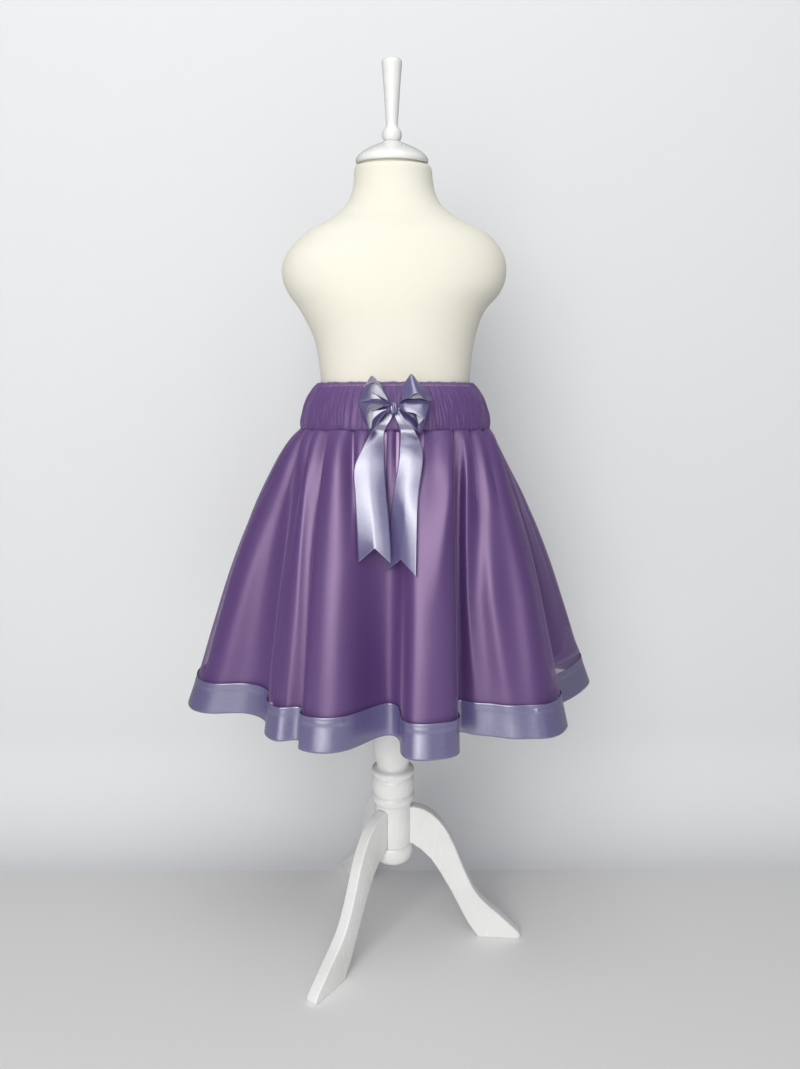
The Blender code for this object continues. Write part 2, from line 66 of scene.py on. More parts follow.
# The camera stands a metre in front of the form, at its waist's height, and looks a little down.
column_low, column_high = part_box("stand_column")
AXIS = (column_low + column_high) / 2
CAMERA_AWAY = 1.016
CAMERA_HEIGHT = 0.7112
CAMERA_DOWN = 9.153
CAMERA_RIGHT = 0.529
bpy.ops.object.camera_add(
    location=(AXIS.x, AXIS.y - CAMERA_AWAY, CAMERA_HEIGHT),
    rotation=(math.radians(90 - CAMERA_DOWN), 0.0, math.radians(-CAMERA_RIGHT)),
)
camera = bpy.context.object
camera.data.sensor_width = 36.0
camera.data.lens = 36.0 * 815 / 1069
camera.data.clip_start = 0.02
bpy.context.scene.camera = camera
bpy.context.scene.view_settings.view_transform = "Standard"


def new_finish(name, colour, roughness, **sockets):
    """A Principled material with constant sockets, and its node tree's parts."""
    made = bpy.data.materials.new(name)
    made.use_nodes = True
    shader = made.node_tree.nodes["Principled BSDF"]
    shader.inputs["Base Color"].default_value = (*colour, 1.0)
    shader.inputs["Roughness"].default_value = roughness
    for socket, value in sockets.items():
        shader.inputs[socket.replace("_", " ")].default_value = value
    made.diffuse_color = (*colour, 1.0)
    return made


def add_node(tree, kind, **values):
    """A node in a tree, with its settings and input values given by name."""
    node = tree.nodes.new(kind)
    for name, value in values.items():
        if hasattr(node, name):
            setattr(node, name, value)
        else:
            node.inputs[name.replace("_", " ")].default_value = value
    return node


# The floor and the wall are the photographer's studio: pale matte paper that curves up from the floor.
FLOOR_COLOUR = (0.84, 0.84, 0.83)
WALL_COLOUR = (0.72, 0.73, 0.74)
WALL_GLOW = 0.08
WALL_AWAY = 0.30
SWEEP_RADIUS = 0.16
for name, colour in (("studio_floor", FLOOR_COLOUR), ("studio_wall", WALL_COLOUR)):
    finish = new_finish(name, colour, 0.9)
    if name == "studio_floor":
        bpy.ops.mesh.primitive_plane_add(size=14.0, location=(0.0, 0.0, 0.0))
    else:
        bpy.ops.mesh.primitive_plane_add(size=9.0, location=(0.0, WALL_AWAY, 4.5 + SWEEP_RADIUS),
                                         rotation=(math.radians(90), 0.0, 0.0))
        bpy.ops.object.mode_set(mode="EDIT")
        bpy.ops.mesh.select_all(action="DESELECT")
        bpy.ops.object.mode_set(mode="OBJECT")
        wall = bpy.context.object
        bpy.ops.object.transform_apply(location=True, rotation=True)
        for edge in wall.data.edges:
            edge.select = all(wall.data.vertices[i].co.z < SWEEP_RADIUS + 0.01 for i in edge.vertices)
        bpy.ops.object.mode_set(mode="EDIT")
        bpy.ops.mesh.spin(steps=16, angle=math.radians(90), center=(0.0, WALL_AWAY - SWEEP_RADIUS, SWEEP_RADIUS),
                          axis=(1.0, 0.0, 0.0))
        bpy.ops.object.mode_set(mode="OBJECT")
        bpy.ops.object.shade_smooth()
        see_through = add_node(finish.node_tree, "ShaderNodeBsdfTransparent")
        facing = add_node(finish.node_tree, "ShaderNodeNewGeometry")
        either = add_node(finish.node_tree, "ShaderNodeMixShader")
        links = finish.node_tree.links
        links.new(facing.outputs["Backfacing"], either.inputs[0])
        links.new(finish.node_tree.nodes["Principled BSDF"].outputs[0], either.inputs[1])
        links.new(see_through.outputs[0], either.inputs[2])
        links.new(either.outputs[0], finish.node_tree.nodes["Material Output"].inputs["Surface"])
        shader = finish.node_tree.nodes["Principled BSDF"]
        shader.inputs["Emission Color"].default_value = (*WALL_COLOUR, 1.0)
        shader.inputs["Emission Strength"].default_value = WALL_GLOW
        wall.visible_diffuse = False
        wall.visible_glossy = False
        wall.visible_shadow = False
        wall.visible_transmission = False
    stage = bpy.context.object
    stage.name = name
    stage.data.materials.append(finish)

# Soft daylight from a large window in front and to the left, and pale light all round.
world = bpy.data.worlds.new("studio_air")
world.use_nodes = True
world.node_tree.nodes["Background"].inputs["Color"].default_value = (0.90, 0.93, 1.0, 1.0)
world.node_tree.nodes["Background"].inputs["Strength"].default_value = 0.25
bpy.context.scene.world = world
LIGHTS = (
    # name, place, looks at, width, height, watts, colour
    ("window", (-0.60, -2.5, 1.45), (0.0, 0.0, 0.6), 1.8, 2.1, 50.0, (1.0, 0.985, 0.96)),
    ("second_window", (1.1, -2.4, 1.2), (0.0, 0.0, 0.5), 0.4, 1.6, 2.0, (0.97, 0.98, 1.0)),
    ("skylight", (0.0, -1.2, 3.0), (0.0, -0.4, 0.0), 2.4, 2.0, 26.0, (1.0, 1.0, 1.0)),
)
for name, place, target, width, height, watts, colour in LIGHTS:
    bpy.ops.object.light_add(type="AREA", location=place)
    lamp = bpy.context.object
    lamp.name = name
    lamp.rotation_euler = (Vector(target) - Vector(place)).to_track_quat("-Z", "Y").to_euler()
    lamp.data.shape = "RECTANGLE"
    lamp.data.size = width
    lamp.data.size_y = height
    lamp.data.energy = watts
    lamp.data.color = colour

# The torso is padded and covered in cream jersey, pulled smooth, without a seam at the front. It is shaped
# from a ring at its base inside the skirt, drawn up section by section to the groove under the neck cap.
TORSO = (
    # height, half width, half depth, middle x, squareness, slope to the back
    (0.530, 62.0, 50.0, 3.6, 2.0, 0.00),
    (0.536, 80.0, 64.0, 3.6, 2.1, 0.00),
    (0.556, 95.0, 76.0, 3.6, 2.2, 0.00),
    (0.600, 103.0, 83.0, 3.6, 2.2, 0.00),
    (0.645, 102.0, 82.0, 3.6, 2.2, 0.00),
    (0.681, 97.0, 78.0, 3.6, 2.2, 0.00),
    (0.705, 93.6, 75.0, 3.6, 2.2, 0.00),
    (0.733, 90.6, 73.0, 3.6, 2.2, 0.00),
    (0.760, 92.6, 74.0, 3.3, 2.2, 0.00),
    (0.787, 97.0, 76.5, 2.7, 2.2, 0.00),
    (0.813, 106.8, 79.0, 0.7, 2.2, 0.00),
    (0.826, 114.6, 79.5, 0.8, 2.2, 0.00),
    (0.839, 125.5, 79.0, 2.0, 2.2, 0.00),
    (0.853, 132.2, 78.0, 2.3, 2.2, 0.00),
    (0.869, 134.1, 76.0, 2.5, 2.2, 0.00),
    (0.885, 129.5, 73.0, 3.5, 2.2, 0.00),
    (0.900, 118.0, 68.0, 4.8, 2.2, 0.00),
    (0.909, 108.0, 64.0, 5.0, 2.2, 0.00),
    (0.9165, 93.0, 59.5, 4.1, 2.2, 0.00),
    (0.927, 74.0, 54.0, 3.0, 2.1, 0.02),
    (0.942, 56.9, 49.0, 2.0, 2.0, 0.05),
    (0.958, 49.0, 45.5, 1.6, 2.0, 0.09),
    (0.972, 46.4, 44.0, 1.5, 2.0, 0.12),
    (0.9862, 44.0, 42.5, 1.0, 2.0, 0.1219),
    (0.9868, 37.0, 36.0, 0.5, 2.0, 0.1219),
    (0.9893, 37.0, 36.0, 0.0, 2.0, 0.1219),
)


def table_at(rows, key):
    """A table's other columns at a key, on a smooth curve through its rows."""
    keys = [row[0] for row in rows]
    i = int(np.clip(np.searchsorted(keys, key, side="right") - 1, 0, len(rows) - 2))
    width = keys[i + 1] - keys[i]
    u = min(1.0, max(0.0, (key - keys[i]) / width))

    def slope(k):
        low, high = max(0, k - 1), min(len(rows) - 1, k + 1)
        return (np.array(rows[high][1:]) - np.array(rows[low][1:])) / (keys[high] - keys[low]) * width

    a, b = np.array(rows[i][1:], float), np.array(rows[i + 1][1:], float)
    return ((2 * u**3 - 3 * u**2 + 1) * a + (u**3 - 2 * u**2 + u) * slope(i)
            + (3 * u**2 - 2 * u**3) * b + (u**3 - u**2) * slope(i + 1))


def torso_ring(height, off, turns):
    """Points round the torso at a height, moved out by off millimetres."""
    half_width, half_depth, middle_x, power, slope = table_at(TORSO, height)
    side, ahead = np.sin(np.radians(turns)), np.cos(np.radians(turns))
    reach = (np.abs(side / (half_width + off)) ** power + np.abs(ahead / (half_depth + off)) ** power) ** (-1 / power)
    x, y = reach * side * MM, -reach * ahead * MM
    return np.stack([x + middle_x * MM + AXIS.x, y + AXIS.y, height + slope * y], axis=1)


def add_sheet(name, rows, cut_width, cut_length, closed=True, finish=None):
    """A sheet through rows of points, with its cut laid out flat in metres in its UV map. A closed one is a tube."""
    count, steps = len(rows), len(rows[0])
    across = steps if closed else steps - 1
    bpy.ops.object.select_all(action="DESELECT")
    bpy.ops.mesh.primitive_grid_add(x_subdivisions=across, y_subdivisions=count - 1, size=1.0)
    piece = bpy.context.object
    piece.name = piece.data.name = name
    mesh = piece.data
    flat = np.array([vertex.co for vertex in mesh.vertices])
    column = np.rint((flat[:, 0] + 0.5) * across).astype(int)
    row = np.rint((0.5 - flat[:, 1]) * (count - 1)).astype(int)
    layer = mesh.uv_layers.active
    layer.name = "cut"
    corners = np.zeros(len(mesh.loops) * 2)
    layer.data.foreach_get("uv", corners)
    corners = corners.reshape(-1, 2) * (cut_width, cut_length)
    layer.data.foreach_set("uv", corners.ravel())
    places = np.array(rows)[row, column % steps]
    mesh.vertices.foreach_set("co", places.ravel())
    mesh.update()
    if closed:
        bpy.ops.object.mode_set(mode="EDIT")
        bpy.ops.mesh.select_all(action="SELECT")
        bpy.ops.mesh.remove_doubles(threshold=1e-6)
        bpy.ops.object.mode_set(mode="OBJECT")
    bpy.ops.object.shade_smooth()
    if finish is not None:
        mesh.materials.append(finish)
    return piece


def wall_of(piece, thickness, offset):
    """Gives a sheet its thickness."""
    solid = piece.modifiers.new("wall", "SOLIDIFY")
    solid.thickness = thickness
    solid.offset = offset
    solid.use_even_offset = False
    bpy.context.view_layer.objects.active = piece
    bpy.ops.object.modifier_apply(modifier=solid.name)


jersey = new_finish("cream jersey", (0.84, 0.82, 0.71), 0.82, Sheen_Weight=0.25, Sheen_Roughness=0.5)
tree = jersey.node_tree
place = add_node(tree, "ShaderNodeTexCoord")
scale = add_node(tree, "ShaderNodeMapping", Scale=(1500.0, 1500.0, 1.0))
ribs = add_node(tree, "ShaderNodeTexWave", wave_type="BANDS", bands_direction="X", Scale=0.5, Distortion=1.5, Detail=1.0)
courses = add_node(tree, "ShaderNodeTexWave", wave_type="BANDS", bands_direction="Y", Scale=0.35, Distortion=2.0)
knit = add_node(tree, "ShaderNodeMath", operation="MULTIPLY")
bump = add_node(tree, "ShaderNodeBump", Strength=0.25, Distance=0.0003)
cloud = add_node(tree, "ShaderNodeTexNoise", Scale=9.0, Detail=3.0)
tint = add_node(tree, "ShaderNodeValToRGB")
tint.color_ramp.elements[0].color = (0.80, 0.775, 0.655, 1.0)
tint.color_ramp.elements[1].color = (0.86, 0.845, 0.74, 1.0)
tree.links.new(place.outputs["UV"], scale.inputs["Vector"])
tree.links.new(scale.outputs[0], ribs.inputs["Vector"])
tree.links.new(scale.outputs[0], courses.inputs["Vector"])
tree.links.new(ribs.outputs["Fac"], knit.inputs[0])
tree.links.new(courses.outputs["Fac"], knit.inputs[1])
tree.links.new(knit.outputs[0], bump.inputs["Height"])
tree.links.new(bump.outputs[0], tree.nodes["Principled BSDF"].inputs["Normal"])
tree.links.new(place.outputs["Object"], cloud.inputs["Vector"])
tree.links.new(cloud.outputs["Fac"], tint.inputs[0])
tree.links.new(tint.outputs[0], tree.nodes["Principled BSDF"].inputs["Base Color"])
torso_heights = np.concatenate([np.linspace(0.530, 0.9862, 120), np.linspace(0.9868, 0.9893, 4)])
torso_turns = np.linspace(180.0, 540.0, 160, endpoint=False)
torso = add_sheet("torso_cover", [torso_ring(h, 0.0, torso_turns) for h in torso_heights[::-1]], 0.60, 0.46, finish=jersey)
bpy.ops.object.mode_set(mode="EDIT")
bpy.ops.mesh.select_all(action="DESELECT")
bpy.ops.mesh.select_non_manifold()
bpy.ops.mesh.fill_holes(sides=0)
bpy.ops.mesh.select_all(action="SELECT")
bpy.ops.mesh.normals_make_consistent(inside=False)
bpy.ops.object.mode_set(mode="OBJECT")
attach(torso, "root")
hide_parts("form_torso")

# The stand is turned beech under gloss white paint: column, knob, neck cap and finial. Each is turned
# from its own profile. The paint has a few soft brush marks, and its tone varies a little at random.
paint = new_finish("white gloss paint", (0.86, 0.86, 0.84), 0.22, Coat_Weight=0.35, Coat_Roughness=0.08)
tree = paint.node_tree
place = add_node(tree, "ShaderNodeTexCoord")
brushed = add_node(tree, "ShaderNodeMapping", Scale=(60.0, 60.0, 9.0))
strokes = add_node(tree, "ShaderNodeTexNoise", Scale=4.0, Detail=4.0)
gloss = add_node(tree, "ShaderNodeMapRange", To_Min=0.16, To_Max=0.34)
film = add_node(tree, "ShaderNodeBump", Strength=0.12, Distance=0.0004)
age = add_node(tree, "ShaderNodeTexNoise", Scale=22.0, Detail=5.0)
tone = add_node(tree, "ShaderNodeValToRGB")
tone.color_ramp.elements[0].position = 0.35
tone.color_ramp.elements[0].color = (0.82, 0.82, 0.80, 1.0)
tone.color_ramp.elements[1].position = 0.62
tone.color_ramp.elements[1].color = (0.88, 0.88, 0.87, 1.0)
tree.links.new(place.outputs["Object"], brushed.inputs["Vector"])
tree.links.new(place.outputs["Object"], age.inputs["Vector"])
tree.links.new(brushed.outputs[0], strokes.inputs["Vector"])
tree.links.new(strokes.outputs["Fac"], gloss.inputs["Value"])
tree.links.new(gloss.outputs[0], tree.nodes["Principled BSDF"].inputs["Roughness"])
tree.links.new(strokes.outputs["Fac"], film.inputs["Height"])
tree.links.new(film.outputs[0], tree.nodes["Principled BSDF"].inputs["Normal"])
tree.links.new(age.outputs["Fac"], tone.inputs[0])
tree.links.new(tone.outputs[0], tree.nodes["Principled BSDF"].inputs["Base Color"])

TURNED = {
    # radius and height in millimetres, bottom to top, and how far the piece leans forward about the cap's base
    "stand_column": (0.0, (
        (0.0, 131.0), (23.4, 131.0), (24.4, 131.6), (24.6, 132.6), (24.6, 160.0), (24.6, 187.4), (25.0, 188.6),
        (26.2, 189.8), (27.6, 192.0), (28.4, 195.4), (28.5, 198.0), (27.9, 200.4), (26.8, 201.8), (25.8, 202.3),
        (26.6, 202.9), (27.4, 204.6), (27.9, 208.4), (28.0, 214.0), (27.9, 219.6), (27.4, 223.6), (26.6, 225.6),
        (25.7, 226.4), (26.8, 227.4), (27.9, 229.4), (28.4, 232.3), (28.0, 234.8), (27.0, 236.6), (24.4, 237.6),
        (22.4, 238.4), (21.3, 240.4), (21.5, 243.0), (22.6, 247.0), (24.2, 252.6), (25.6, 259.5), (26.4, 266.0),
        (26.5, 273.0), (26.2, 284.0), (25.5, 300.0), (23.8, 328.0), (21.5, 360.0), (19.3, 395.0), (17.5, 430.0),
        (16.3, 470.0), (16.0, 505.4), (18.0, 507.0), (29.4, 512.4), (30.0, 513.2), (30.0, 529.6), (0.0, 529.7),
    )),
    "stand_knob": (0.0, (
        (0.0, 103.0), (6.0, 103.1), (11.0, 103.7), (17.0, 105.2), (21.0, 107.6), (24.0, 111.0), (25.8, 115.4),
        (26.4, 119.8), (26.3, 124.0), (25.4, 128.0), (24.4, 130.2), (23.4, 130.7), (0.0, 130.7),
    )),
    "neck_cap": (7.0, (
        (0.0, 989.6), (41.4, 989.6), (42.3, 990.0), (42.7, 991.0), (42.6, 993.2), (41.6, 995.4), (39.6, 997.8),
        (36.4, 1000.4), (32.3, 1003.0), (28.0, 1005.2), (23.0, 1007.5), (18.0, 1009.4), (14.0, 1011.0),
        (11.2, 1012.3), (9.6, 1012.9), (0.0, 1012.9),
    )),
    "neck_finial": (7.0, (
        (0.0, 1013.2), (8.6, 1013.2), (9.8, 1014.2), (11.0, 1016.6), (11.5, 1019.6), (11.2, 1022.4), (10.2, 1024.8),
        (8.6, 1026.6), (7.5, 1028.0), (6.9, 1030.0), (6.8, 1032.0), (7.1, 1036.0), (7.8, 1045.0), (8.6, 1056.0),
        (9.5, 1069.0), (10.5, 1082.0), (11.4, 1091.5), (11.6, 1094.4), (11.0, 1096.8), (9.4, 1098.2), (6.0, 1098.7),
        (0.0, 1098.8),
    )),
}
CAP_BASE = 0.9896
TURNED_STEPS = 72
for name, (tilt, profile) in TURNED.items():
    bpy.ops.object.select_all(action="DESELECT")
    mesh = bpy.data.meshes.new("turned_" + name)
    mesh.from_pydata([(r * MM, 0.0, z * MM) for r, z in profile], [(i, i + 1) for i in range(len(profile) - 1)], [])
    turned = bpy.data.objects.new("turned_" + name, mesh)
    bpy.context.scene.collection.objects.link(turned)
    bpy.context.view_layer.objects.active = turned
    turned.select_set(True)
    bpy.ops.object.mode_set(mode="EDIT")
    bpy.ops.mesh.select_all(action="SELECT")
    bpy.ops.mesh.spin(steps=TURNED_STEPS, angle=2 * math.pi, center=(0.0, 0.0, 0.0), axis=(0.0, 0.0, 1.0))
    bpy.ops.mesh.select_all(action="SELECT")
    bpy.ops.mesh.remove_doubles(threshold=1e-5)
    bpy.ops.mesh.normals_make_consistent(inside=False)
    bpy.ops.object.mode_set(mode="OBJECT")
    lean = math.sin(math.radians(tilt))
    for vertex in mesh.vertices:
        x, y, lift = vertex.co.x, vertex.co.y, vertex.co.z - CAP_BASE
        vertex.co = (x + AXIS.x, y - lift * lean + AXIS.y, CAP_BASE + lift + y * lean) if tilt else (
            x + AXIS.x, y + AXIS.y, vertex.co.z)
    bpy.ops.object.shade_smooth_by_angle(angle=math.radians(50))
    mesh.materials.append(paint)
    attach(turned, "root")
    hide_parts(name)

# The three legs are sawn from board to one curved pattern, eased along their edges and painted like the
# column. Each stands in an arched slot in the hub, and on a flat foot.
LEG_TURNS = {"leg_right": 85.0, "leg_front_left": -35.0, "leg_back_left": 205.0}
LEG_THICK = 15.0 * MM
LEG_EDGE = 1.8 * MM
# radius and height in millimetres, seen from the side
LEG_TOP = (
    (20, 183.2), (28, 183.8), (36, 182.8), (43, 180.5), (52, 175.0), (61, 167.0), (69, 157.0), (76, 145.0),
    (83, 130.0), (89, 114.0), (95, 99.0), (101, 85.0), (108, 71.0), (117, 58.0), (129, 46.0), (142, 35.0),
    (156, 22.0), (168, 11.0), (172, 5.0),
)
LEG_UNDER = (
    (171, 0), (115, 0), (107, 12), (101, 21), (96, 31), (90, 43), (84, 55), (78, 67), (71, 79), (65, 90), (58, 101),
    (51, 111), (43, 119), (37, 124.5), (31, 128), (27.4, 131.4), (20, 132),
)


def set_in_slot(outline, turn, half_width):
    """Points of an outline of radius and height, on both sides of a leg's middle plane."""
    away = Vector((math.sin(math.radians(turn)), -math.cos(math.radians(turn)), 0.0))
    across = Vector((away.y, -away.x, 0.0))
    base = Vector((AXIS.x, AXIS.y, 0.0))
    return [base + away * r * MM + across * side + Vector((0, 0, z * MM))
            for side in (-half_width, half_width) for r, z in outline]


def add_board(name, points):
    """A board with two matching outlines as its faces."""
    count = len(points) // 2
    faces = [(i, (i + 1) % count, count + (i + 1) % count, count + i) for i in range(count)]
    faces += [tuple(reversed(range(count))), tuple(range(count, 2 * count))]
    mesh = bpy.data.meshes.new(name)
    mesh.from_pydata([tuple(p) for p in points], [], faces)
    board = bpy.data.objects.new(name, mesh)
    bpy.context.scene.collection.objects.link(board)
    bpy.ops.object.select_all(action="DESELECT")
    bpy.context.view_layer.objects.active = board
    board.select_set(True)
    bpy.ops.object.mode_set(mode="EDIT")
    bpy.ops.mesh.select_all(action="SELECT")
    bpy.ops.mesh.normals_make_consistent(inside=False)
    bpy.ops.object.mode_set(mode="OBJECT")
    return board


def apply_modifiers(piece):
    """Applies all of a piece's modifiers."""
    bpy.ops.object.select_all(action="DESELECT")
    bpy.context.view_layer.objects.active = piece
    piece.select_set(True)
    for modifier in list(piece.modifiers):
        bpy.ops.object.modifier_apply(modifier=modifier.name)


column = bpy.data.objects["turned_stand_column"]
for name, turn in LEG_TURNS.items():
    leg = add_board("painted_" + name, set_in_slot(LEG_TOP + LEG_UNDER, turn, LEG_THICK / 2))
    ease = leg.modifiers.new("eased edges", "BEVEL")
    ease.width = LEG_EDGE
    ease.segments = 4
    ease.limit_method = "ANGLE"
    ease.angle_limit = math.radians(60)
    apply_modifiers(leg)
    bpy.ops.object.shade_smooth_by_angle(angle=math.radians(35))
    leg.data.materials.append(paint)
    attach(leg, "root")
    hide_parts(name)
    half = LEG_THICK / 2 + 0.4 * MM
    arch = [(-half, 120.0 * MM)]
    arch += [(-half * math.cos(math.pi * i / 12), 181.2 * MM + 0.45 * half * math.sin(math.pi * i / 12)) for i in range(13)]
    arch += [(half, 120.0 * MM)]
    away = Vector((math.sin(math.radians(turn)), -math.cos(math.radians(turn)), 0.0))
    across = Vector((away.y, -away.x, 0.0))
    base = Vector((AXIS.x, AXIS.y, 0.0))
    cutter = add_board("slot_cutter", [base + away * reach * MM + across * side + Vector((0, 0, z))
                                       for reach in (19.6, 40.0) for side, z in arch])
    slot = column.modifiers.new("slot", "BOOLEAN")
    slot.operation = "DIFFERENCE"
    slot.solver = "EXACT"
    slot.object = cutter
    apply_modifiers(column)
    bpy.data.objects.remove(cutter)
bpy.ops.object.shade_smooth_by_angle(angle=math.radians(50))

# The satin lining is the underskirt: one strip joined at the back and gathered into the waistband, a little
# shorter and narrower than the tulle over it. Its folds are the skirt's, rounder and shallower.
SEAM_Z = 0.681
HEM_Z = 0.333
SKIRT_FALL = SEAM_Z - HEM_Z
SEAM_OFF = 16.0
FOLDS = (
    # crest turn, crest radius, its rise's roundness and steepness, valley turn, valley radius, its fall's
    (-91.0, 263, 1.0, 0.3, -62.0, 173, 1.10, 0.75),
    (-45.0, 193, 1.0, 0.2, -37.5, 174, 1.00, 0.40),
    (-30.5, 193, 1.2, 0.4, -1.5, 124, 1.20, 0.20),
    (14.0, 196, 1.9, 0.9, 29.5, 136, 1.90, 0.45),
    (60.0, 230, 1.1, 0.0, 73.0, 203, 1.50, 0.75),
    (105.0, 280, 0.8, 0.0, 127.0, 214, 1.20, 0.30),
    (143.0, 212, 1.1, 0.3, 158.0, 172, 1.30, 0.50),
    (176.0, 198, 1.3, 0.5, 191.0, 166, 1.00, 0.30),
    (207.0, 204, 1.2, 0.4, 221.0, 176, 1.40, 0.50),
    (238.0, 226, 1.0, 0.3, 251.0, 208, 1.00, 0.40),
)
# how far the cloth has spread from the seam to the hem, by its fall
SPREAD = (
    (0.000, 0.00), (0.060, 0.11), (0.125, 0.21), (0.263, 0.39), (0.466, 0.59), (0.697, 0.77), (0.876, 0.90),
    (1.000, 1.00),
)
# the gathers: crest turn, its height in millimetres, the fall where it has smoothed out, the turn of the slit
# after it, and that slit's depth in millimetres
GATHERS = (
    (-176.0, 6.5, 0.30, -169.0, 4.2), (-162.0, 5.1, 0.22, -155.0, 3.4), (-148.0, 7.2, 0.34, -140.0, 5.1),
    (-132.0, 5.1, 0.24, -126.0, 3.4), (-118.0, 6.5, 0.30, -110.0, 4.2), (-102.0, 5.5, 0.28, -95.0, 3.5),
    (-89.0, 6.0, 0.34, -83.0, 4.0), (-77.5, 5.5, 0.30, -72.0, 4.5), (-66.0, 6.0, 0.40, -60.0, 4.0),
    (-55.0, 5.0, 0.26, -49.0, 7.0), (-37.5, 8.5, 0.42, -29.5, 5.0), (-23.0, 5.0, 0.28, -14.0, 5.0),
    (-10.5, 3.5, 0.20, -7.0, 4.0), (-3.5, 4.5, 0.32, 1.0, 4.0), (9.5, 4.5, 0.26, 19.0, 8.0),
    (32.0, 8.0, 0.42, 40.5, 4.5), (46.0, 5.5, 0.36, 54.0, 7.5), (59.5, 5.0, 0.30, 65.0, 3.5),
    (72.5, 6.0, 0.36, 80.0, 4.0), (87.5, 5.0, 0.26, 95.0, 3.5), (103.5, 6.0, 0.30, 112.0, 4.0),
    (120.0, 5.1, 0.24, 127.0, 3.4), (134.0, 6.5, 0.32, 142.0, 4.8), (149.0, 5.1, 0.24, 156.0, 3.4),
    (163.0, 6.0, 0.30, 170.0, 4.0), (176.0, 4.5, 0.22, 180.0, 3.0),
)
# the turn at the waist that each turn at the hem hangs from: the gathers draw the cloth out to the sides
WAIST_TURNS = (
    (-118.0, -118.0), (-91.0, -91.0), (-80.0, -79.0), (-62.0, -68.5), (-43.0, -56.5), (-37.5, -49.5), (-24.0, -37.0),
    (-10.0, -20.0), (-1.5, -3.0), (13.0, 31.0), (29.5, 41.0), (38.0, 47.5), (54.0, 72.0), (73.0, 88.0),
    (105.0, 110.0), (127.0, 127.0),
)
# how strongly a gather stands, by its share of the way to where it has smoothed out
GATHER_FADE = ((0.00, 0.60), (0.10, 1.00), (0.35, 0.80), (0.65, 0.35), (1.00, 0.00))
GATHER_ROUND = 2.4
# softer folds below the gathers: crest turn and height in millimetres at three falls, and half width in degrees;
# a trough's height is below zero
SOFT_FALLS = (0.22, 0.55, 0.85)
SOFT_FOLDS = (
    ((-73.0, -76.0, -77.0), (1.0, 1.6, 1.6), 3.2), ((-54.0, -54.0, -54.0), (0.0, 3.0, 4.0), 5.0),
    ((-43.0, -41.0, -40.0), (3.0, 3.0, 2.0), 2.5), ((17.0, 13.0, 13.0), (4.0, 0.0, 0.0), 3.0),
    ((9.0, 9.0, 9.0), (-5.0, -1.0, 0.0), 3.5), ((33.0, 33.5, 34.0), (-4.0, -5.0, -4.0), 2.0),
    ((36.8, 36.8, 39.0), (4.0, 3.5, 3.0), 2.2), ((42.5, 39.8, 40.8), (-5.0, -3.0, -2.0), 2.2),
    ((42.0, 43.6, 45.5), (0.0, 3.0, 3.0), 2.2), ((48.5, 49.0, 49.5), (0.0, -2.0, -1.0), 2.0),
    ((51.0, 54.5, 53.5), (3.5, 3.5, 2.5), 3.0), ((84.0, 86.0, 88.0), (3.0, 2.5, 1.5), 4.0),
    ((96.0, 97.0, 97.0), (-3.0, -2.5, -1.5), 4.0), ((112.0, 115.0, 116.0), (3.5, 3.0, 2.0), 3.5),
    ((131.0, 134.0, 135.0), (3.0, 3.5, 2.0), 3.5), ((150.0, 150.0, 151.0), (-4.0, -3.0, -2.0), 3.0),
    ((167.0, 165.0, 164.0), (3.5, 3.0, 2.5), 3.5), ((-172.0, -176.0, -177.0), (-3.0, -3.0, -2.0), 3.5),
    ((-161.0, -163.0, -162.0), (4.0, 3.5, 2.5), 3.5), ((-143.0, -141.0, -143.0), (-3.5, -3.0, -2.0), 3.0),
    ((-128.0, -126.0, -127.0), (3.5, 3.0, 2.0), 3.5), ((-101.0, -102.0, -101.0), (-3.0, -2.5, -1.5), 4.0),
)


def gathered(turns, fall):
    """How far the gathers lift the cloth at each turn, in millimetres: rounded crests with sharp slits between."""
    lift = np.zeros(len(turns))
    for i, (crest, height, reach, slit, depth) in enumerate(GATHERS):
        before_slit, before_depth, before_reach = GATHERS[i - 1][3], GATHERS[i - 1][4], GATHERS[i - 1][2]
        after_reach = GATHERS[(i + 1) % len(GATHERS)][2]
        top = height * table_at(GATHER_FADE, min(1.0, fall / reach))[0]
        for edge, deep, far in ((before_slit, before_depth, max(reach, before_reach)), (slit, depth, max(reach, after_reach))):
            low = deep * table_at(GATHER_FADE, min(1.0, fall / far))[0]
            width = (edge - crest + 180.0) % 360.0 - 180.0
            off = ((turns - crest + 180.0) % 360.0 - 180.0) / width
            here = (off >= 0.0) & (off < 1.0)
            lift[here] = -low + (top + low) * (1 - off[here] ** GATHER_ROUND)
    return lift


def skirt_path(spacing):
    """The strips' waist turns and hem points round the skirt, about one for each spacing in degrees."""
    turns, hem = [], []
    for i, (crest, crest_r, rise_round, rise_steep, valley, valley_r, fall_round, fall_steep) in enumerate(FOLDS):
        before = FOLDS[i - 1][4] - (360.0 if i == 0 else 0.0)
        for way, far_turn, far_r, roundness, steep in (
                (-1, before, FOLDS[i - 1][5], rise_round, rise_steep), (1, valley, valley_r, fall_round, fall_steep)):
            count = max(20, round(abs(far_turn - crest) / spacing))
            u = np.arange(count) / count if way > 0 else (np.arange(count)[::-1] + 1) / count
            v = u**roundness
            turn = crest + (far_turn - crest) * (u + steep * np.sin(2 * np.pi * v) / (2 * np.pi))
            radius = crest_r + (far_r - crest_r) * (1 - np.cos(np.pi * v)) / 2
            turns.append(crest + (far_turn - crest) * u)
            hem.append(np.stack([radius * MM * np.sin(np.radians(turn)), -radius * MM * np.cos(np.radians(turn))], 1))
    return np.concatenate(turns), np.concatenate(hem)


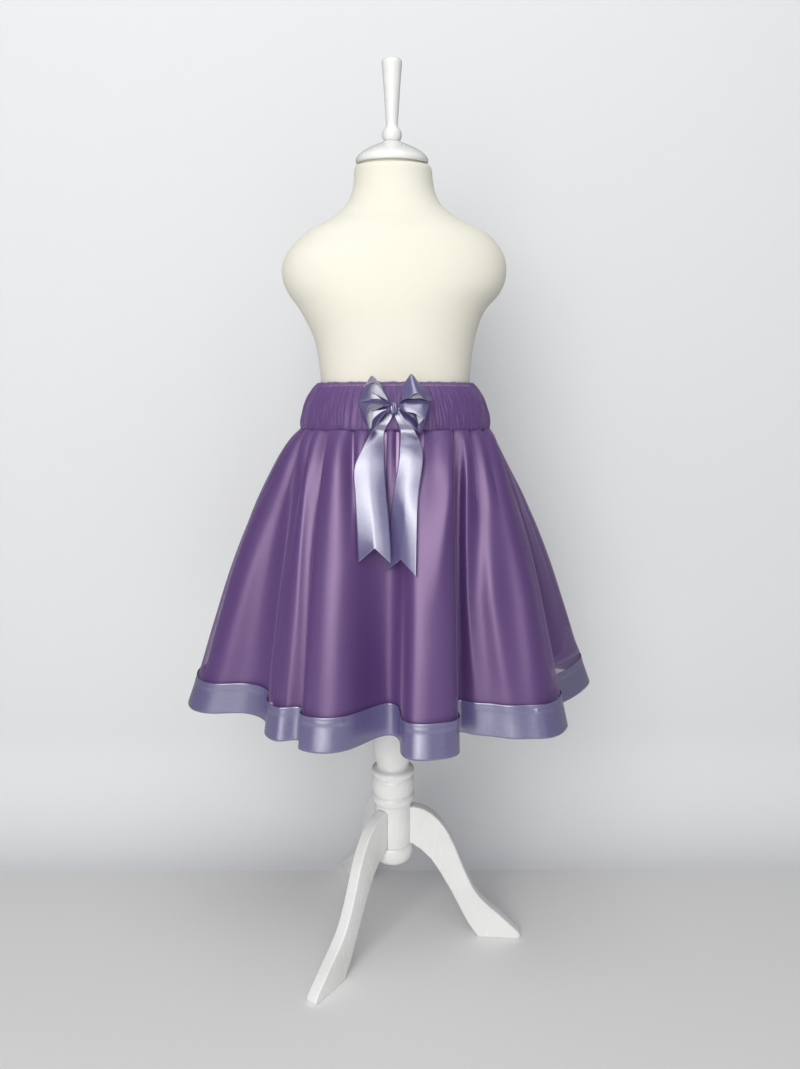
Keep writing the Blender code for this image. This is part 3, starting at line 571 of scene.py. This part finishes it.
def skirt_rows(turns, hem, falls, pleated=1.0):
    """Level rings of the skirt's outer face at each fall, round the column's axis, as rows of x and y."""
    waist_turns = np.array([table_at(WAIST_TURNS, turn)[0] if WAIST_TURNS[0][0] < turn < WAIST_TURNS[-1][0] else turn
                            for turn in turns])
    waist = torso_ring(SEAM_Z, SEAM_OFF, waist_turns)[:, :2] - (AXIS.x, AXIS.y)
    out = waist / np.linalg.norm(waist, axis=1, keepdims=True)
    rows = []
    for fall in falls:
        ring = waist + (hem - waist) * table_at(SPREAD, fall)[0]
        lift = gathered(waist_turns, fall)
        ring = ring + out * (lift * pleated * MM)[:, None]
        soft = np.zeros(len(turns))
        for crests, heights, half_width in SOFT_FOLDS:
            off = (turns - np.interp(fall, SOFT_FALLS, crests) + 180.0) % 360.0 - 180.0
            soft += np.interp(fall, SOFT_FALLS, heights) * np.exp(-(off / half_width) ** 2)
        soft *= min(1.0, fall / 0.18) * (1.0 - 0.5 * min(1.0, max(0.0, (fall - 0.8) / 0.15)))
        along = np.roll(ring, -1, axis=0) - np.roll(ring, 1, axis=0)
        along /= np.linalg.norm(along, axis=1, keepdims=True)
        rows.append(ring + np.stack([along[:, 1], -along[:, 0]], axis=1) * (soft * MM)[:, None])
    return np.array(rows)


def moved_in(rows, inset, sink, stages):
    """Rings moved in by inset, and by sink more where they face straight out, little by little so none crosses itself."""
    rows = rows.copy()
    inset = np.broadcast_to(np.asarray(inset, float), len(rows))[:, None] / stages
    sink = np.broadcast_to(np.asarray(sink, float), len(rows))[:, None] / stages
    for stage in range(stages):
        before, after = np.roll(rows, 1, axis=1), np.roll(rows, -1, axis=1)
        along = after - before
        along /= np.linalg.norm(along, axis=2, keepdims=True)
        out = np.stack([along[..., 1], -along[..., 0]], axis=2)
        radial = rows / np.linalg.norm(rows, axis=2, keepdims=True)
        facing = np.clip((out * radial).sum(axis=2), 0.0, 1.0) ** 2
        rows = rows - out * (inset + sink * facing**2)[..., None]
        if stages > 1:
            rows = 0.5 * rows + 0.25 * (np.roll(rows, 1, axis=1) + np.roll(rows, -1, axis=1))
    return rows


def hung(rows, falls, rise=0.0):
    """Rings of x and y as points of the sheet, each at its height. The hem rises by rise, in metres, at each turn."""
    points = []
    for ring, fall in zip(rows, falls):
        height = np.full(len(ring), SEAM_Z - fall * SKIRT_FALL) + rise * (fall / falls[-1]) ** 3
        points.append(np.concatenate([ring + (AXIS.x, AXIS.y), height[:, None]], axis=1))
    return points


def new_group(name, inputs, outputs):
    """A shader node group with named sockets, and its input and output nodes."""
    group = bpy.data.node_groups.new(name, "ShaderNodeTree")
    for socket, kind in inputs.items():
        group.interface.new_socket(name=socket, in_out="INPUT", socket_type=kind)
    for socket in outputs:
        group.interface.new_socket(name=socket, in_out="OUTPUT", socket_type="NodeSocketFloat")
    return group, group.nodes.new("NodeGroupInput"), group.nodes.new("NodeGroupOutput")


# satin's threads: fine ribs along the cut's length, crossed by finer ones, and slow streaks where threads are thicker
weave, given, made = new_group("satin weave", {"Cut": "NodeSocketVector", "Threads": "NodeSocketFloat"}, ("Height", "Streak"))
parts = add_node(weave, "ShaderNodeSeparateXYZ")
weave.links.new(given.outputs["Cut"], parts.inputs[0])
waves = []
for axis, share in (("X", 1.0), ("Y", 0.4)):
    count = add_node(weave, "ShaderNodeMath", operation="MULTIPLY")
    count.inputs[1].default_value = share * 2 * math.pi
    turned_to = add_node(weave, "ShaderNodeMath", operation="MULTIPLY")
    wave = add_node(weave, "ShaderNodeMath", operation="SINE")
    weave.links.new(given.outputs["Threads"], count.inputs[0])
    weave.links.new(parts.outputs[axis], turned_to.inputs[0])
    weave.links.new(count.outputs[0], turned_to.inputs[1])
    weave.links.new(turned_to.outputs[0], wave.inputs[0])
    waves.append(wave)
both = add_node(weave, "ShaderNodeMath", operation="ADD")
weave.links.new(waves[0].outputs[0], both.inputs[0])
weave.links.new(waves[1].outputs[0], both.inputs[1])
weave.links.new(both.outputs[0], made.inputs["Height"])
drawn = add_node(weave, "ShaderNodeMapping", Scale=(90.0, 700.0, 1.0))
slubs = add_node(weave, "ShaderNodeTexNoise", Scale=1.0, Detail=3.0)
weave.links.new(given.outputs["Cut"], drawn.inputs["Vector"])
weave.links.new(drawn.outputs[0], slubs.inputs["Vector"])
weave.links.new(slubs.outputs["Fac"], made.inputs["Streak"])


def show_threads(finish, deep, pale, threads):
    """Gives a finish its satin weave, between a deep and a pale tone."""
    tree = finish.node_tree
    cut = add_node(tree, "ShaderNodeTexCoord")
    cloth = add_node(tree, "ShaderNodeGroup", node_tree=weave)
    cloth.inputs["Threads"].default_value = threads
    tone = add_node(tree, "ShaderNodeValToRGB")
    tone.color_ramp.elements[0].position, tone.color_ramp.elements[1].position = 0.3, 0.7
    tone.color_ramp.elements[0].color, tone.color_ramp.elements[1].color = (*deep, 1.0), (*pale, 1.0)
    ribs = add_node(tree, "ShaderNodeBump", Strength=0.10, Distance=0.0001)
    tree.links.new(cut.outputs["UV"], cloth.inputs["Cut"])
    tree.links.new(cloth.outputs["Streak"], tone.inputs[0])
    tree.links.new(tone.outputs[0], tree.nodes["Principled BSDF"].inputs["Base Color"])
    tree.links.new(cloth.outputs["Height"], ribs.inputs["Height"])
    tree.links.new(ribs.outputs[0], tree.nodes["Principled BSDF"].inputs["Normal"])


LINING_HEM_FALL = (SEAM_Z - 0.353) / SKIRT_FALL
LINING_RISE = 26.0 * MM
LINING_CUT = (1.62, 0.325)
turns, hem = skirt_path(0.55)
falls = np.concatenate([np.linspace(0.0, 0.14, 22), np.linspace(0.155, LINING_HEM_FALL, 34)])
ease = (1.6 + 1.4 * falls) * MM
rows = moved_in(skirt_rows(turns, hem, falls, 0.95), ease, 5.0 * MM * falls**1.6, 6)
rise = LINING_RISE * np.exp(-(((turns - 90.0 + 180.0) % 360.0 - 180.0) / 20.0) ** 4)
satin = new_finish("purple satin", (0.072, 0.027, 0.165), 0.38, Specular_IOR_Level=1.0, IOR=1.95, Sheen_Weight=0.12,
                   Sheen_Roughness=0.35)
satin.node_tree.nodes["Principled BSDF"].inputs["Specular Tint"].default_value = (1.0, 0.74, 1.0, 1.0)
show_threads(satin, (0.066, 0.024, 0.152), (0.084, 0.033, 0.184), 4200.0)
lining = add_sheet("satin_lining", hung(rows, falls, rise), *LINING_CUT, finish=satin)
wall_of(lining, 0.3 * MM, -1.0)
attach(lining, "root")
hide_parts("skirt_lining")

# The overskirt is one long strip of fine tulle, joined at the back and gathered at the waist. It stands a
# finger's width off the lining at its folds, so the light catches its edges, and ends behind the hem ribbon.
TULLE_EDGE_FALL = (SEAM_Z - 0.3626) / SKIRT_FALL
TULLE_CUT = (1.75, 0.33)
turns, hem = skirt_path(0.36)
falls = np.concatenate([np.linspace(0.0, 0.16, 34), np.linspace(0.175, TULLE_EDGE_FALL, 46)])
skirt = skirt_rows(turns, hem, falls)
net, given, made = new_group("hexagonal net", {"Cut": "NodeSocketVector", "Cell": "NodeSocketFloat"}, ("Thread",))
lengths = []
for angle in (0.0, 120.0, 240.0):
    along = add_node(net, "ShaderNodeVectorMath", operation="DOT_PRODUCT")
    along.inputs[1].default_value = (math.cos(math.radians(angle)), math.sin(math.radians(angle)), 0.0)
    cells = add_node(net, "ShaderNodeMath", operation="DIVIDE")
    turned_to = add_node(net, "ShaderNodeMath", operation="MULTIPLY")
    turned_to.inputs[1].default_value = 4 * math.pi / math.sqrt(3)
    wave = add_node(net, "ShaderNodeMath", operation="COSINE")
    net.links.new(given.outputs["Cut"], along.inputs[0])
    net.links.new(along.outputs["Value"], cells.inputs[0])
    net.links.new(given.outputs["Cell"], cells.inputs[1])
    net.links.new(cells.outputs[0], turned_to.inputs[0])
    net.links.new(turned_to.outputs[0], wave.inputs[0])
    lengths.append(wave)
first = add_node(net, "ShaderNodeMath", operation="ADD")
second = add_node(net, "ShaderNodeMath", operation="ADD")
net.links.new(lengths[0].outputs[0], first.inputs[0])
net.links.new(lengths[1].outputs[0], first.inputs[1])
net.links.new(first.outputs[0], second.inputs[0])
net.links.new(lengths[2].outputs[0], second.inputs[1])
thread = add_node(net, "ShaderNodeMapRange")
thread.inputs["From Min"].default_value, thread.inputs["From Max"].default_value = 0.1, -0.9
net.links.new(second.outputs[0], thread.inputs["Value"])
net.links.new(thread.outputs[0], made.inputs["Thread"])
NET_CELL = 1.1 * MM


def new_tulle(name, layers_low, layers_high, length):
    """Tulle gathered to layers_low of its cut at the bottom and layers_high at the top: it closes up as it turns away."""
    finish = new_finish(name, (0.15, 0.075, 0.25), 0.5, Sheen_Weight=0.2, Sheen_Roughness=0.4)
    finish.node_tree.nodes["Principled BSDF"].inputs["Sheen Tint"].default_value = (0.95, 0.70, 1.0, 1.0)
    tree = finish.node_tree
    cut = add_node(tree, "ShaderNodeTexCoord")
    cells = add_node(tree, "ShaderNodeGroup", node_tree=net)
    cells.inputs["Cell"].default_value = NET_CELL
    open_share = add_node(tree, "ShaderNodeMapRange", To_Min=0.82, To_Max=0.52)
    parts = add_node(tree, "ShaderNodeSeparateXYZ")
    layers = add_node(tree, "ShaderNodeMapRange")
    layers.inputs["From Min"].default_value, layers.inputs["From Max"].default_value = length - 0.10, length
    layers.inputs["To Min"].default_value, layers.inputs["To Max"].default_value = layers_low, layers_high
    turned_away = add_node(tree, "ShaderNodeLayerWeight", Blend=0.5)
    facing = add_node(tree, "ShaderNodeMath", operation="SUBTRACT")
    facing.inputs[0].default_value = 1.0
    floor = add_node(tree, "ShaderNodeMath", operation="MAXIMUM")
    floor.inputs[1].default_value = 0.14
    slant = add_node(tree, "ShaderNodeMath", operation="DIVIDE")
    through = add_node(tree, "ShaderNodeMath", operation="POWER")
    closed = add_node(tree, "ShaderNodeMath", operation="SUBTRACT")
    closed.inputs[0].default_value = 1.0
    tree.links.new(cut.outputs["UV"], cells.inputs["Cut"])
    tree.links.new(cells.outputs["Thread"], open_share.inputs["Value"])
    tree.links.new(cut.outputs["UV"], parts.inputs[0])
    tree.links.new(parts.outputs["Y"], layers.inputs["Value"])
    tree.links.new(turned_away.outputs["Facing"], facing.inputs[1])
    tree.links.new(facing.outputs[0], floor.inputs[0])
    tree.links.new(layers.outputs[0], slant.inputs[0])
    tree.links.new(floor.outputs[0], slant.inputs[1])
    tree.links.new(open_share.outputs[0], through.inputs[0])
    tree.links.new(slant.outputs[0], through.inputs[1])
    tree.links.new(through.outputs[0], closed.inputs[1])
    tree.links.new(closed.outputs[0], tree.nodes["Principled BSDF"].inputs["Alpha"])
    return finish


tulle = new_tulle("sheer tulle", 1.0, 2.4, TULLE_CUT[1])
overskirt = add_sheet("tulle_overskirt", hung(skirt, falls), *TULLE_CUT, finish=tulle)
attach(overskirt, "root")
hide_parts("skirt_tulle")

# The satin band is the waistband's core: satin folded over wide elastic, drawn up in fine soft gathers.
SATIN_OUTER = ((0.6815, 13.5), (0.692, 13.5), (0.708, 12.0), (0.722, 8.0), (0.7305, 3.0))
BAND_CUT = (0.74, 0.050)


def fine_gathers(turns, height, counts, slant, seed):
    """Uneven fine gathers round the band, from -1 to 1, leaning with the height."""
    chance = np.random.default_rng(seed)
    total = np.zeros(len(turns))
    for count in counts:
        phase, lean, share = chance.uniform(0, 6.28), chance.uniform(-1, 1), chance.uniform(0.5, 1.0)
        drift = slant * lean * (height - 0.70) * 1000 / 55
        wander = 0.8 * np.sin(np.radians(turns) * chance.integers(2, 6) + chance.uniform(0, 6.28))
        total += share * np.cos(np.radians(turns + drift) * count + phase + wander)
    return total / len(counts)


turns = np.linspace(180.0, 540.0, 720, endpoint=False)
heights = np.linspace(0.6815, 0.7305, 26)
rings = []
for height in heights[::-1]:
    off = table_at(SATIN_OUTER, height)[0]
    rings.append(torso_ring(height, 0.0, turns))
    waves = fine_gathers(turns, height, (43, 61, 78), 3.0, 5)
    direction = rings[-1] - np.array([AXIS.x, AXIS.y, height])
    direction[:, 2] = 0
    direction /= np.linalg.norm(direction, axis=1, keepdims=True)
    rings[-1] = torso_ring(height, off - 0.9, turns) + direction * (waves * 0.9 * MM)[:, None]
band = add_sheet("satin_band", rings, *BAND_CUT, finish=satin)
wall_of(band, 0.4 * MM, -1.0)
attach(band, "root")
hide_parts("waistband_satin")

# The casing is the overskirt's tulle turned over the band: puffed, gathered in fine slanting creases, and
# drawn in under its lower edge where the skirt is sewn on. Its top edge stands a little above the satin.
CASING_OUTER = ((0.6813, 18.5), (0.689, 20.0), (0.704, 19.3), (0.720, 15.0), (0.731, 8.2), (0.7355, 3.4))
CASING_CUT = (0.82, 0.060)
turns = np.linspace(180.0, 540.0, 1300, endpoint=False)
rings = []
for step in range(34):
    share = step / 33
    if share < 0.12:
        height, off = 0.7325 + 0.003 * share / 0.12, 1.0 + 2.4 * share / 0.12
    else:
        height = 0.7355 - (0.7355 - 0.6813) * (share - 0.12) / 0.88
        off = table_at(CASING_OUTER, height)[0]
    waves = fine_gathers(turns, height, (52, 74, 97, 131, 158), 9.0, 11)
    scallop = 0.9 * np.maximum(0.0, 1 - (0.7365 - height) / 0.006) * fine_gathers(turns, 0.70, (21, 33, 50), 0.0, 3)
    depth = 1.5 if share > 0.12 else 0.5
    ring = torso_ring(height, off, turns)
    direction = ring - np.array([AXIS.x, AXIS.y, height])
    direction[:, 2] = 0
    direction /= np.linalg.norm(direction, axis=1, keepdims=True)
    ring = ring + direction * (waves * depth * MM)[:, None]
    ring[:, 2] += scallop * MM
    rings.append(ring)
casing = add_sheet("tulle_casing", rings, *CASING_CUT, finish=new_tulle("gathered tulle", 2.2, 2.2, CASING_CUT[1]))
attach(casing, "root")
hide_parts("waistband_tulle")

# The hem is edged with satin ribbon, sewn over the tulle's raw edge near its top and hanging free below.
# The edge under it raises a low step, and the seam draws the ribbon into small puckers.
RIBBON_TOP_FALL = (SEAM_Z - 0.371) / SKIRT_FALL
RIBBON_WIDTH = 38.0 * MM
RIBBON_CUT = (1.80, RIBBON_WIDTH)
ribbon_satin = new_finish("lavender satin ribbon", (0.105, 0.085, 0.225), 0.24, Specular_IOR_Level=1.0, IOR=2.0)
ribbon_satin.node_tree.nodes["Principled BSDF"].inputs["Specular Tint"].default_value = (0.92, 0.95, 1.0, 1.0)
show_threads(ribbon_satin, (0.100, 0.080, 0.215), (0.112, 0.091, 0.236), 5200.0)
turns, hem = skirt_path(0.27)
falls = np.linspace(RIBBON_TOP_FALL, 1.0, 22)
ribbon_rows = skirt_rows(turns, hem, falls)
down = (falls - RIBBON_TOP_FALL) / (1 - RIBBON_TOP_FALL)
step = 0.45 / (1 + np.exp((down - 0.225) / 0.012))
lip = 0.5 * np.exp(-down / 0.03)
standing = np.broadcast_to((1.0 + step + lip)[:, None], (len(falls), len(turns))).copy()
chance = np.random.default_rng(23)
along = np.concatenate([[0.0], np.cumsum(np.linalg.norm(np.diff(ribbon_rows[0], axis=0), axis=1))])
for pucker in range(60):
    middle, size, lift = chance.uniform(0, along[-1]), chance.uniform(1.5, 4.0) * MM, chance.uniform(-0.5, 0.7)
    low_on = chance.normal(0.2, 0.02)
    spot = np.exp(-((along - middle) / size) ** 2)[None, :] * np.exp(-((down - low_on) / 0.06) ** 2)[:, None]
    standing += lift * spot
before, after = np.roll(ribbon_rows, 1, axis=1), np.roll(ribbon_rows, -1, axis=1)
tangent = (after - before) / np.linalg.norm(after - before, axis=2, keepdims=True)
outward = np.stack([tangent[..., 1], -tangent[..., 0]], axis=2)
ribbon = add_sheet("hem_ribbon_satin", hung(ribbon_rows + outward * (standing * MM)[..., None], falls), *RIBBON_CUT,
                   finish=ribbon_satin)
wall_of(ribbon, 0.3 * MM, 0.0)
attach(ribbon, "root")
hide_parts("hem_ribbon")

# The bow is tied from the same ribbon. Each of its four loops is a short tube of ribbon seen from its end:
# the back edge lies on the casing in pointed corners, and the front edge stands off and curls open.
LOOPS = {
    # back edge's x, z and forward, front edge's x, z and forward, in millimetres from the axis
    "bow_loop_upper_left": (
        (-2.4, 712.2, 2, -2.6, 710.3, 6), (-7.4, 722.7, 2, -7.0, 718.8, 10), (-14.2, 732.7, 1.5, -12.0, 726.5, 13),
        (-22.3, 740.8, 1, -17.3, 732.3, 14), (-27.6, 734.6, 1, -22.6, 733.1, 14.5),
        (-32.2, 728.1, 1, -25.3, 728.1, 14.5), (-35.2, 718.8, 1, -25.5, 721.1, 13), (-36.7, 711.9, 1, -23.4, 714.9, 12),
        (-24.9, 710.3, 1, -15.8, 712.6, 10), (-3.6, 709.5, 2, -3.2, 709.2, 5),
    ),
    "bow_loop_upper_right": (
        (7.9, 712.2, 2, 7.9, 710.3, 6), (9.8, 722.7, 2, 11.7, 714.9, 10), (11.7, 730.4, 2, 17.4, 716.5, 13),
        (16.4, 737.7, 2, 21.6, 720.3, 15), (21.2, 742.7, 1, 25.0, 721.7, 15.5), (27.7, 735.4, 1, 29.2, 720.7, 15),
        (33.8, 728.5, 1, 33.1, 717.6, 13), (38.4, 721.9, 1, 35.3, 714.9, 10), (45.6, 713.8, 1, 40.7, 713.8, 6),
        (30.8, 711.9, 1, 28.5, 712.6, 8), (9.4, 709.5, 2, 8.6, 709.2, 5),
    ),
    "bow_loop_lower_left": (
        (-2.4, 711.5, 2, -2.6, 709.2, 6), (-11.2, 714.9, 3, -8.1, 708.0, 11), (-20.3, 715.9, 3, -14.2, 710.7, 14),
        (-36.5, 711.9, 2, -22.6, 709.2, 15), (-36.0, 704.9, 1.5, -27.1, 705.3, 15), (-33.7, 697.2, 1, -28.6, 699.5, 14.5),
        (-30.3, 688.7, 1, -27.6, 691.0, 13), (-24.5, 681.8, 1, -24.0, 679.0, 9), (-21.1, 693.3, 1, -15.8, 690.2, 10),
        (-11.2, 701.8, 2, -7.8, 700.3, 8), (-2.4, 705.3, 3, -2.6, 703.8, 5),
    ),
    "bow_loop_lower_right": (
        (8.3, 710.3, 2, 7.5, 706.5, 6), (11.7, 715.6, 4, 14.0, 702.2, 11), (22.4, 716.0, 5, 23.9, 700.3, 14),
        (32.3, 716.0, 5, 30.8, 696.8, 15), (39.9, 711.9, 2, 35.5, 694.1, 15), (41.1, 704.1, 1, 33.1, 692.2, 14),
        (38.4, 693.3, 1, 28.9, 687.9, 12), (34.6, 681.8, 1, 27.7, 683.7, 10), (31.1, 678.5, 1, 30.0, 679.3, 8),
        (25.4, 691.8, 2, 20.8, 685.6, 8), (15.5, 699.5, 2, 11.7, 692.6, 7), (7.1, 704.5, 3, 6.7, 702.6, 5),
    ),
}
LOOP_LENGTH = {"bow_loop_upper_left": 0.048, "bow_loop_upper_right": 0.048, "bow_loop_lower_left": 0.052,
               "bow_loop_lower_right": 0.056}
knot_low, knot_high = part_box("bow_knot")
BOW_BACK_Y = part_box("bow_loop_upper_left")[1].y
for name, edges in LOOPS.items():
    keyed = [(i,) + row for i, row in enumerate(edges)]
    path = []
    spine_x, spine_z = np.mean([row[0] for row in edges]), np.mean([row[1] for row in edges])
    for at in np.linspace(0, len(edges) - 1, 90):
        bx, bz, bf, fx, fz, ff = table_at(keyed, at)
        back, across = np.linspace(0, 1, 8, endpoint=False), np.linspace(0, 1, 24)
        forward = np.concatenate([0.6 + (bf - 0.6) * back, bf + (ff - bf) * across + 1.2 * np.sin(np.pi * across)])
        x = np.concatenate([spine_x + (bx - spine_x) * back, bx + (fx - bx) * across])
        z = np.concatenate([spine_z + (bz - spine_z) * back, bz + (fz - bz) * across])
        path.append(np.stack([AXIS.x + x * MM, BOW_BACK_Y - forward * MM, z * MM], axis=1))
    loop = add_sheet("satin_" + name, path, RIBBON_WIDTH, LOOP_LENGTH[name], closed=False, finish=ribbon_satin)
    wall_of(loop, 0.35 * MM, 0.0)
    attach(loop, "root")
    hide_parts(name)

# The knot is the ribbon wrapped tightly round the bow's middle, so it shows a few upright pleats.
middle = (knot_low + knot_high) / 2
size = knot_high - knot_low
bpy.ops.object.select_all(action="DESELECT")
bpy.ops.mesh.primitive_uv_sphere_add(segments=64, ring_count=40, radius=0.5, location=(0.0, 0.0, 0.0))
knot = bpy.context.object
knot.name = knot.data.name = "satin_bow_knot"
for vertex in knot.data.vertices:
    x, y, z = vertex.co * 2
    pleat = 1 + 0.07 * math.cos(9.0 * x + 2.0 * z) * (1 - abs(z) ** 4)
    round_z = math.copysign(abs(z) ** 0.8, z)
    vertex.co = (middle.x + x * size.x / 2 * pleat, middle.y + y * size.y / 2 * pleat, middle.z + round_z * size.z / 2)
bpy.ops.object.shade_smooth()
knot.data.materials.append(ribbon_satin)
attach(knot, "root")
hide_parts("bow_knot")

# Two tails of the same ribbon hang from the knot over the skirt, cut to a notch so they don't fray.
TAILS = {
    # height, left edge's x, right edge's x, left edge's and right edge's distance off the cloth
    "bow_tail_left": (
        (0.7065, -5.0, 0.9, 1.0, 1.0), (0.6960, -9.0, -0.5, 1.0, 1.0), (0.6880, -17.0, -5.0, 1.0, 1.0),
        (0.6800, -23.5, -9.0, 2.5, 2.5), (0.6640, -32.0, -9.0, 4.0, 5.0), (0.6400, -43.0, -8.5, 4.5, 7.0),
        (0.6100, -42.0, -6.5, 4.5, 10.0), (0.5750, -40.0, -3.5, 4.5, 17.0), (0.5365, -38.0, -1.5, 3.5, 25.0),
    ),
    "bow_tail_right": (
        (0.7065, 1.7, 8.0, 1.0, 1.0), (0.6960, 3.0, 12.5, 1.0, 1.0), (0.6880, 6.5, 20.0, 1.0, 1.0),
        (0.6800, 9.0, 25.5, 2.5, 2.5), (0.6640, 8.5, 33.0, 5.0, 5.0), (0.6480, 7.0, 34.0, 6.5, 5.5),
        (0.6100, 0.5, 29.0, 7.0, 3.5), (0.5750, -3.0, 27.0, 8.0, 4.0), (0.5245, -8.0, 25.5, 7.0, 4.0),
    ),
}
NOTCH = 17.0 * MM
TAIL_ROLL = 2.0
TAIL_CLEAR = 1.2
graph = bpy.context.evaluated_depsgraph_get()


def cloth_y(x, height):
    """The y of the cloth's front at an x from the axis in millimetres and a height."""
    struck = bpy.context.scene.ray_cast(graph, (AXIS.x + x * MM, -1.0, height), (0.0, 1.0, 0.0))
    return struck[1].y


hidden = [ob for ob in bpy.context.scene.objects if ob not in (overskirt, casing)]
were_hidden = [ob.hide_viewport for ob in hidden]
for ob in hidden:
    ob.hide_viewport = True
bpy.context.view_layer.update()
graph = bpy.context.evaluated_depsgraph_get()
tail_rows = {}
for name, edges in TAILS.items():
    tail_rows[name] = []
    for height, left, right, left_off, right_off in edges:
        left_y, right_y = cloth_y(left, height) / MM - left_off, cloth_y(right, height) / MM - right_off
        under = min(cloth_y(left + (right - left) * share, height) / MM - (left_y + (right_y - left_y) * share)
                    for share in np.linspace(0, 1, 9))
        nearer = min(0.0, under - TAIL_CLEAR)
        tail_rows[name].append((-height, left, right, left_y + nearer, right_y + nearer))
for ob, was_hidden in zip(hidden, were_hidden):
    ob.hide_viewport = was_hidden
for name, keyed in tail_rows.items():
    top, bottom = keyed[0][0], keyed[-1][0]
    path = []
    for share_down in np.linspace(0, 1, 110):
        left, right, left_y, right_y = table_at(keyed, top + (bottom - top) * share_down)
        across = np.linspace(0, 1, 26)
        roll = TAIL_ROLL * min(1.0, max(0.0, (share_down - 0.15) / 0.3))
        notch = NOTCH * (1 - np.abs(2 * across - 1)) * share_down**3
        y = left_y + (right_y - left_y) * across - roll * np.sin(np.pi * across)
        z = -(top + (bottom - top) * share_down) + notch
        path.append(np.stack([AXIS.x + (left + (right - left) * across) * MM, y * MM, z], axis=1))
    tail = add_sheet("satin_" + name, path, RIBBON_WIDTH, abs(bottom - top), closed=False, finish=ribbon_satin)
    wall_of(tail, 0.35 * MM, 0.0)
    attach(tail, "root")
    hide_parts(name)
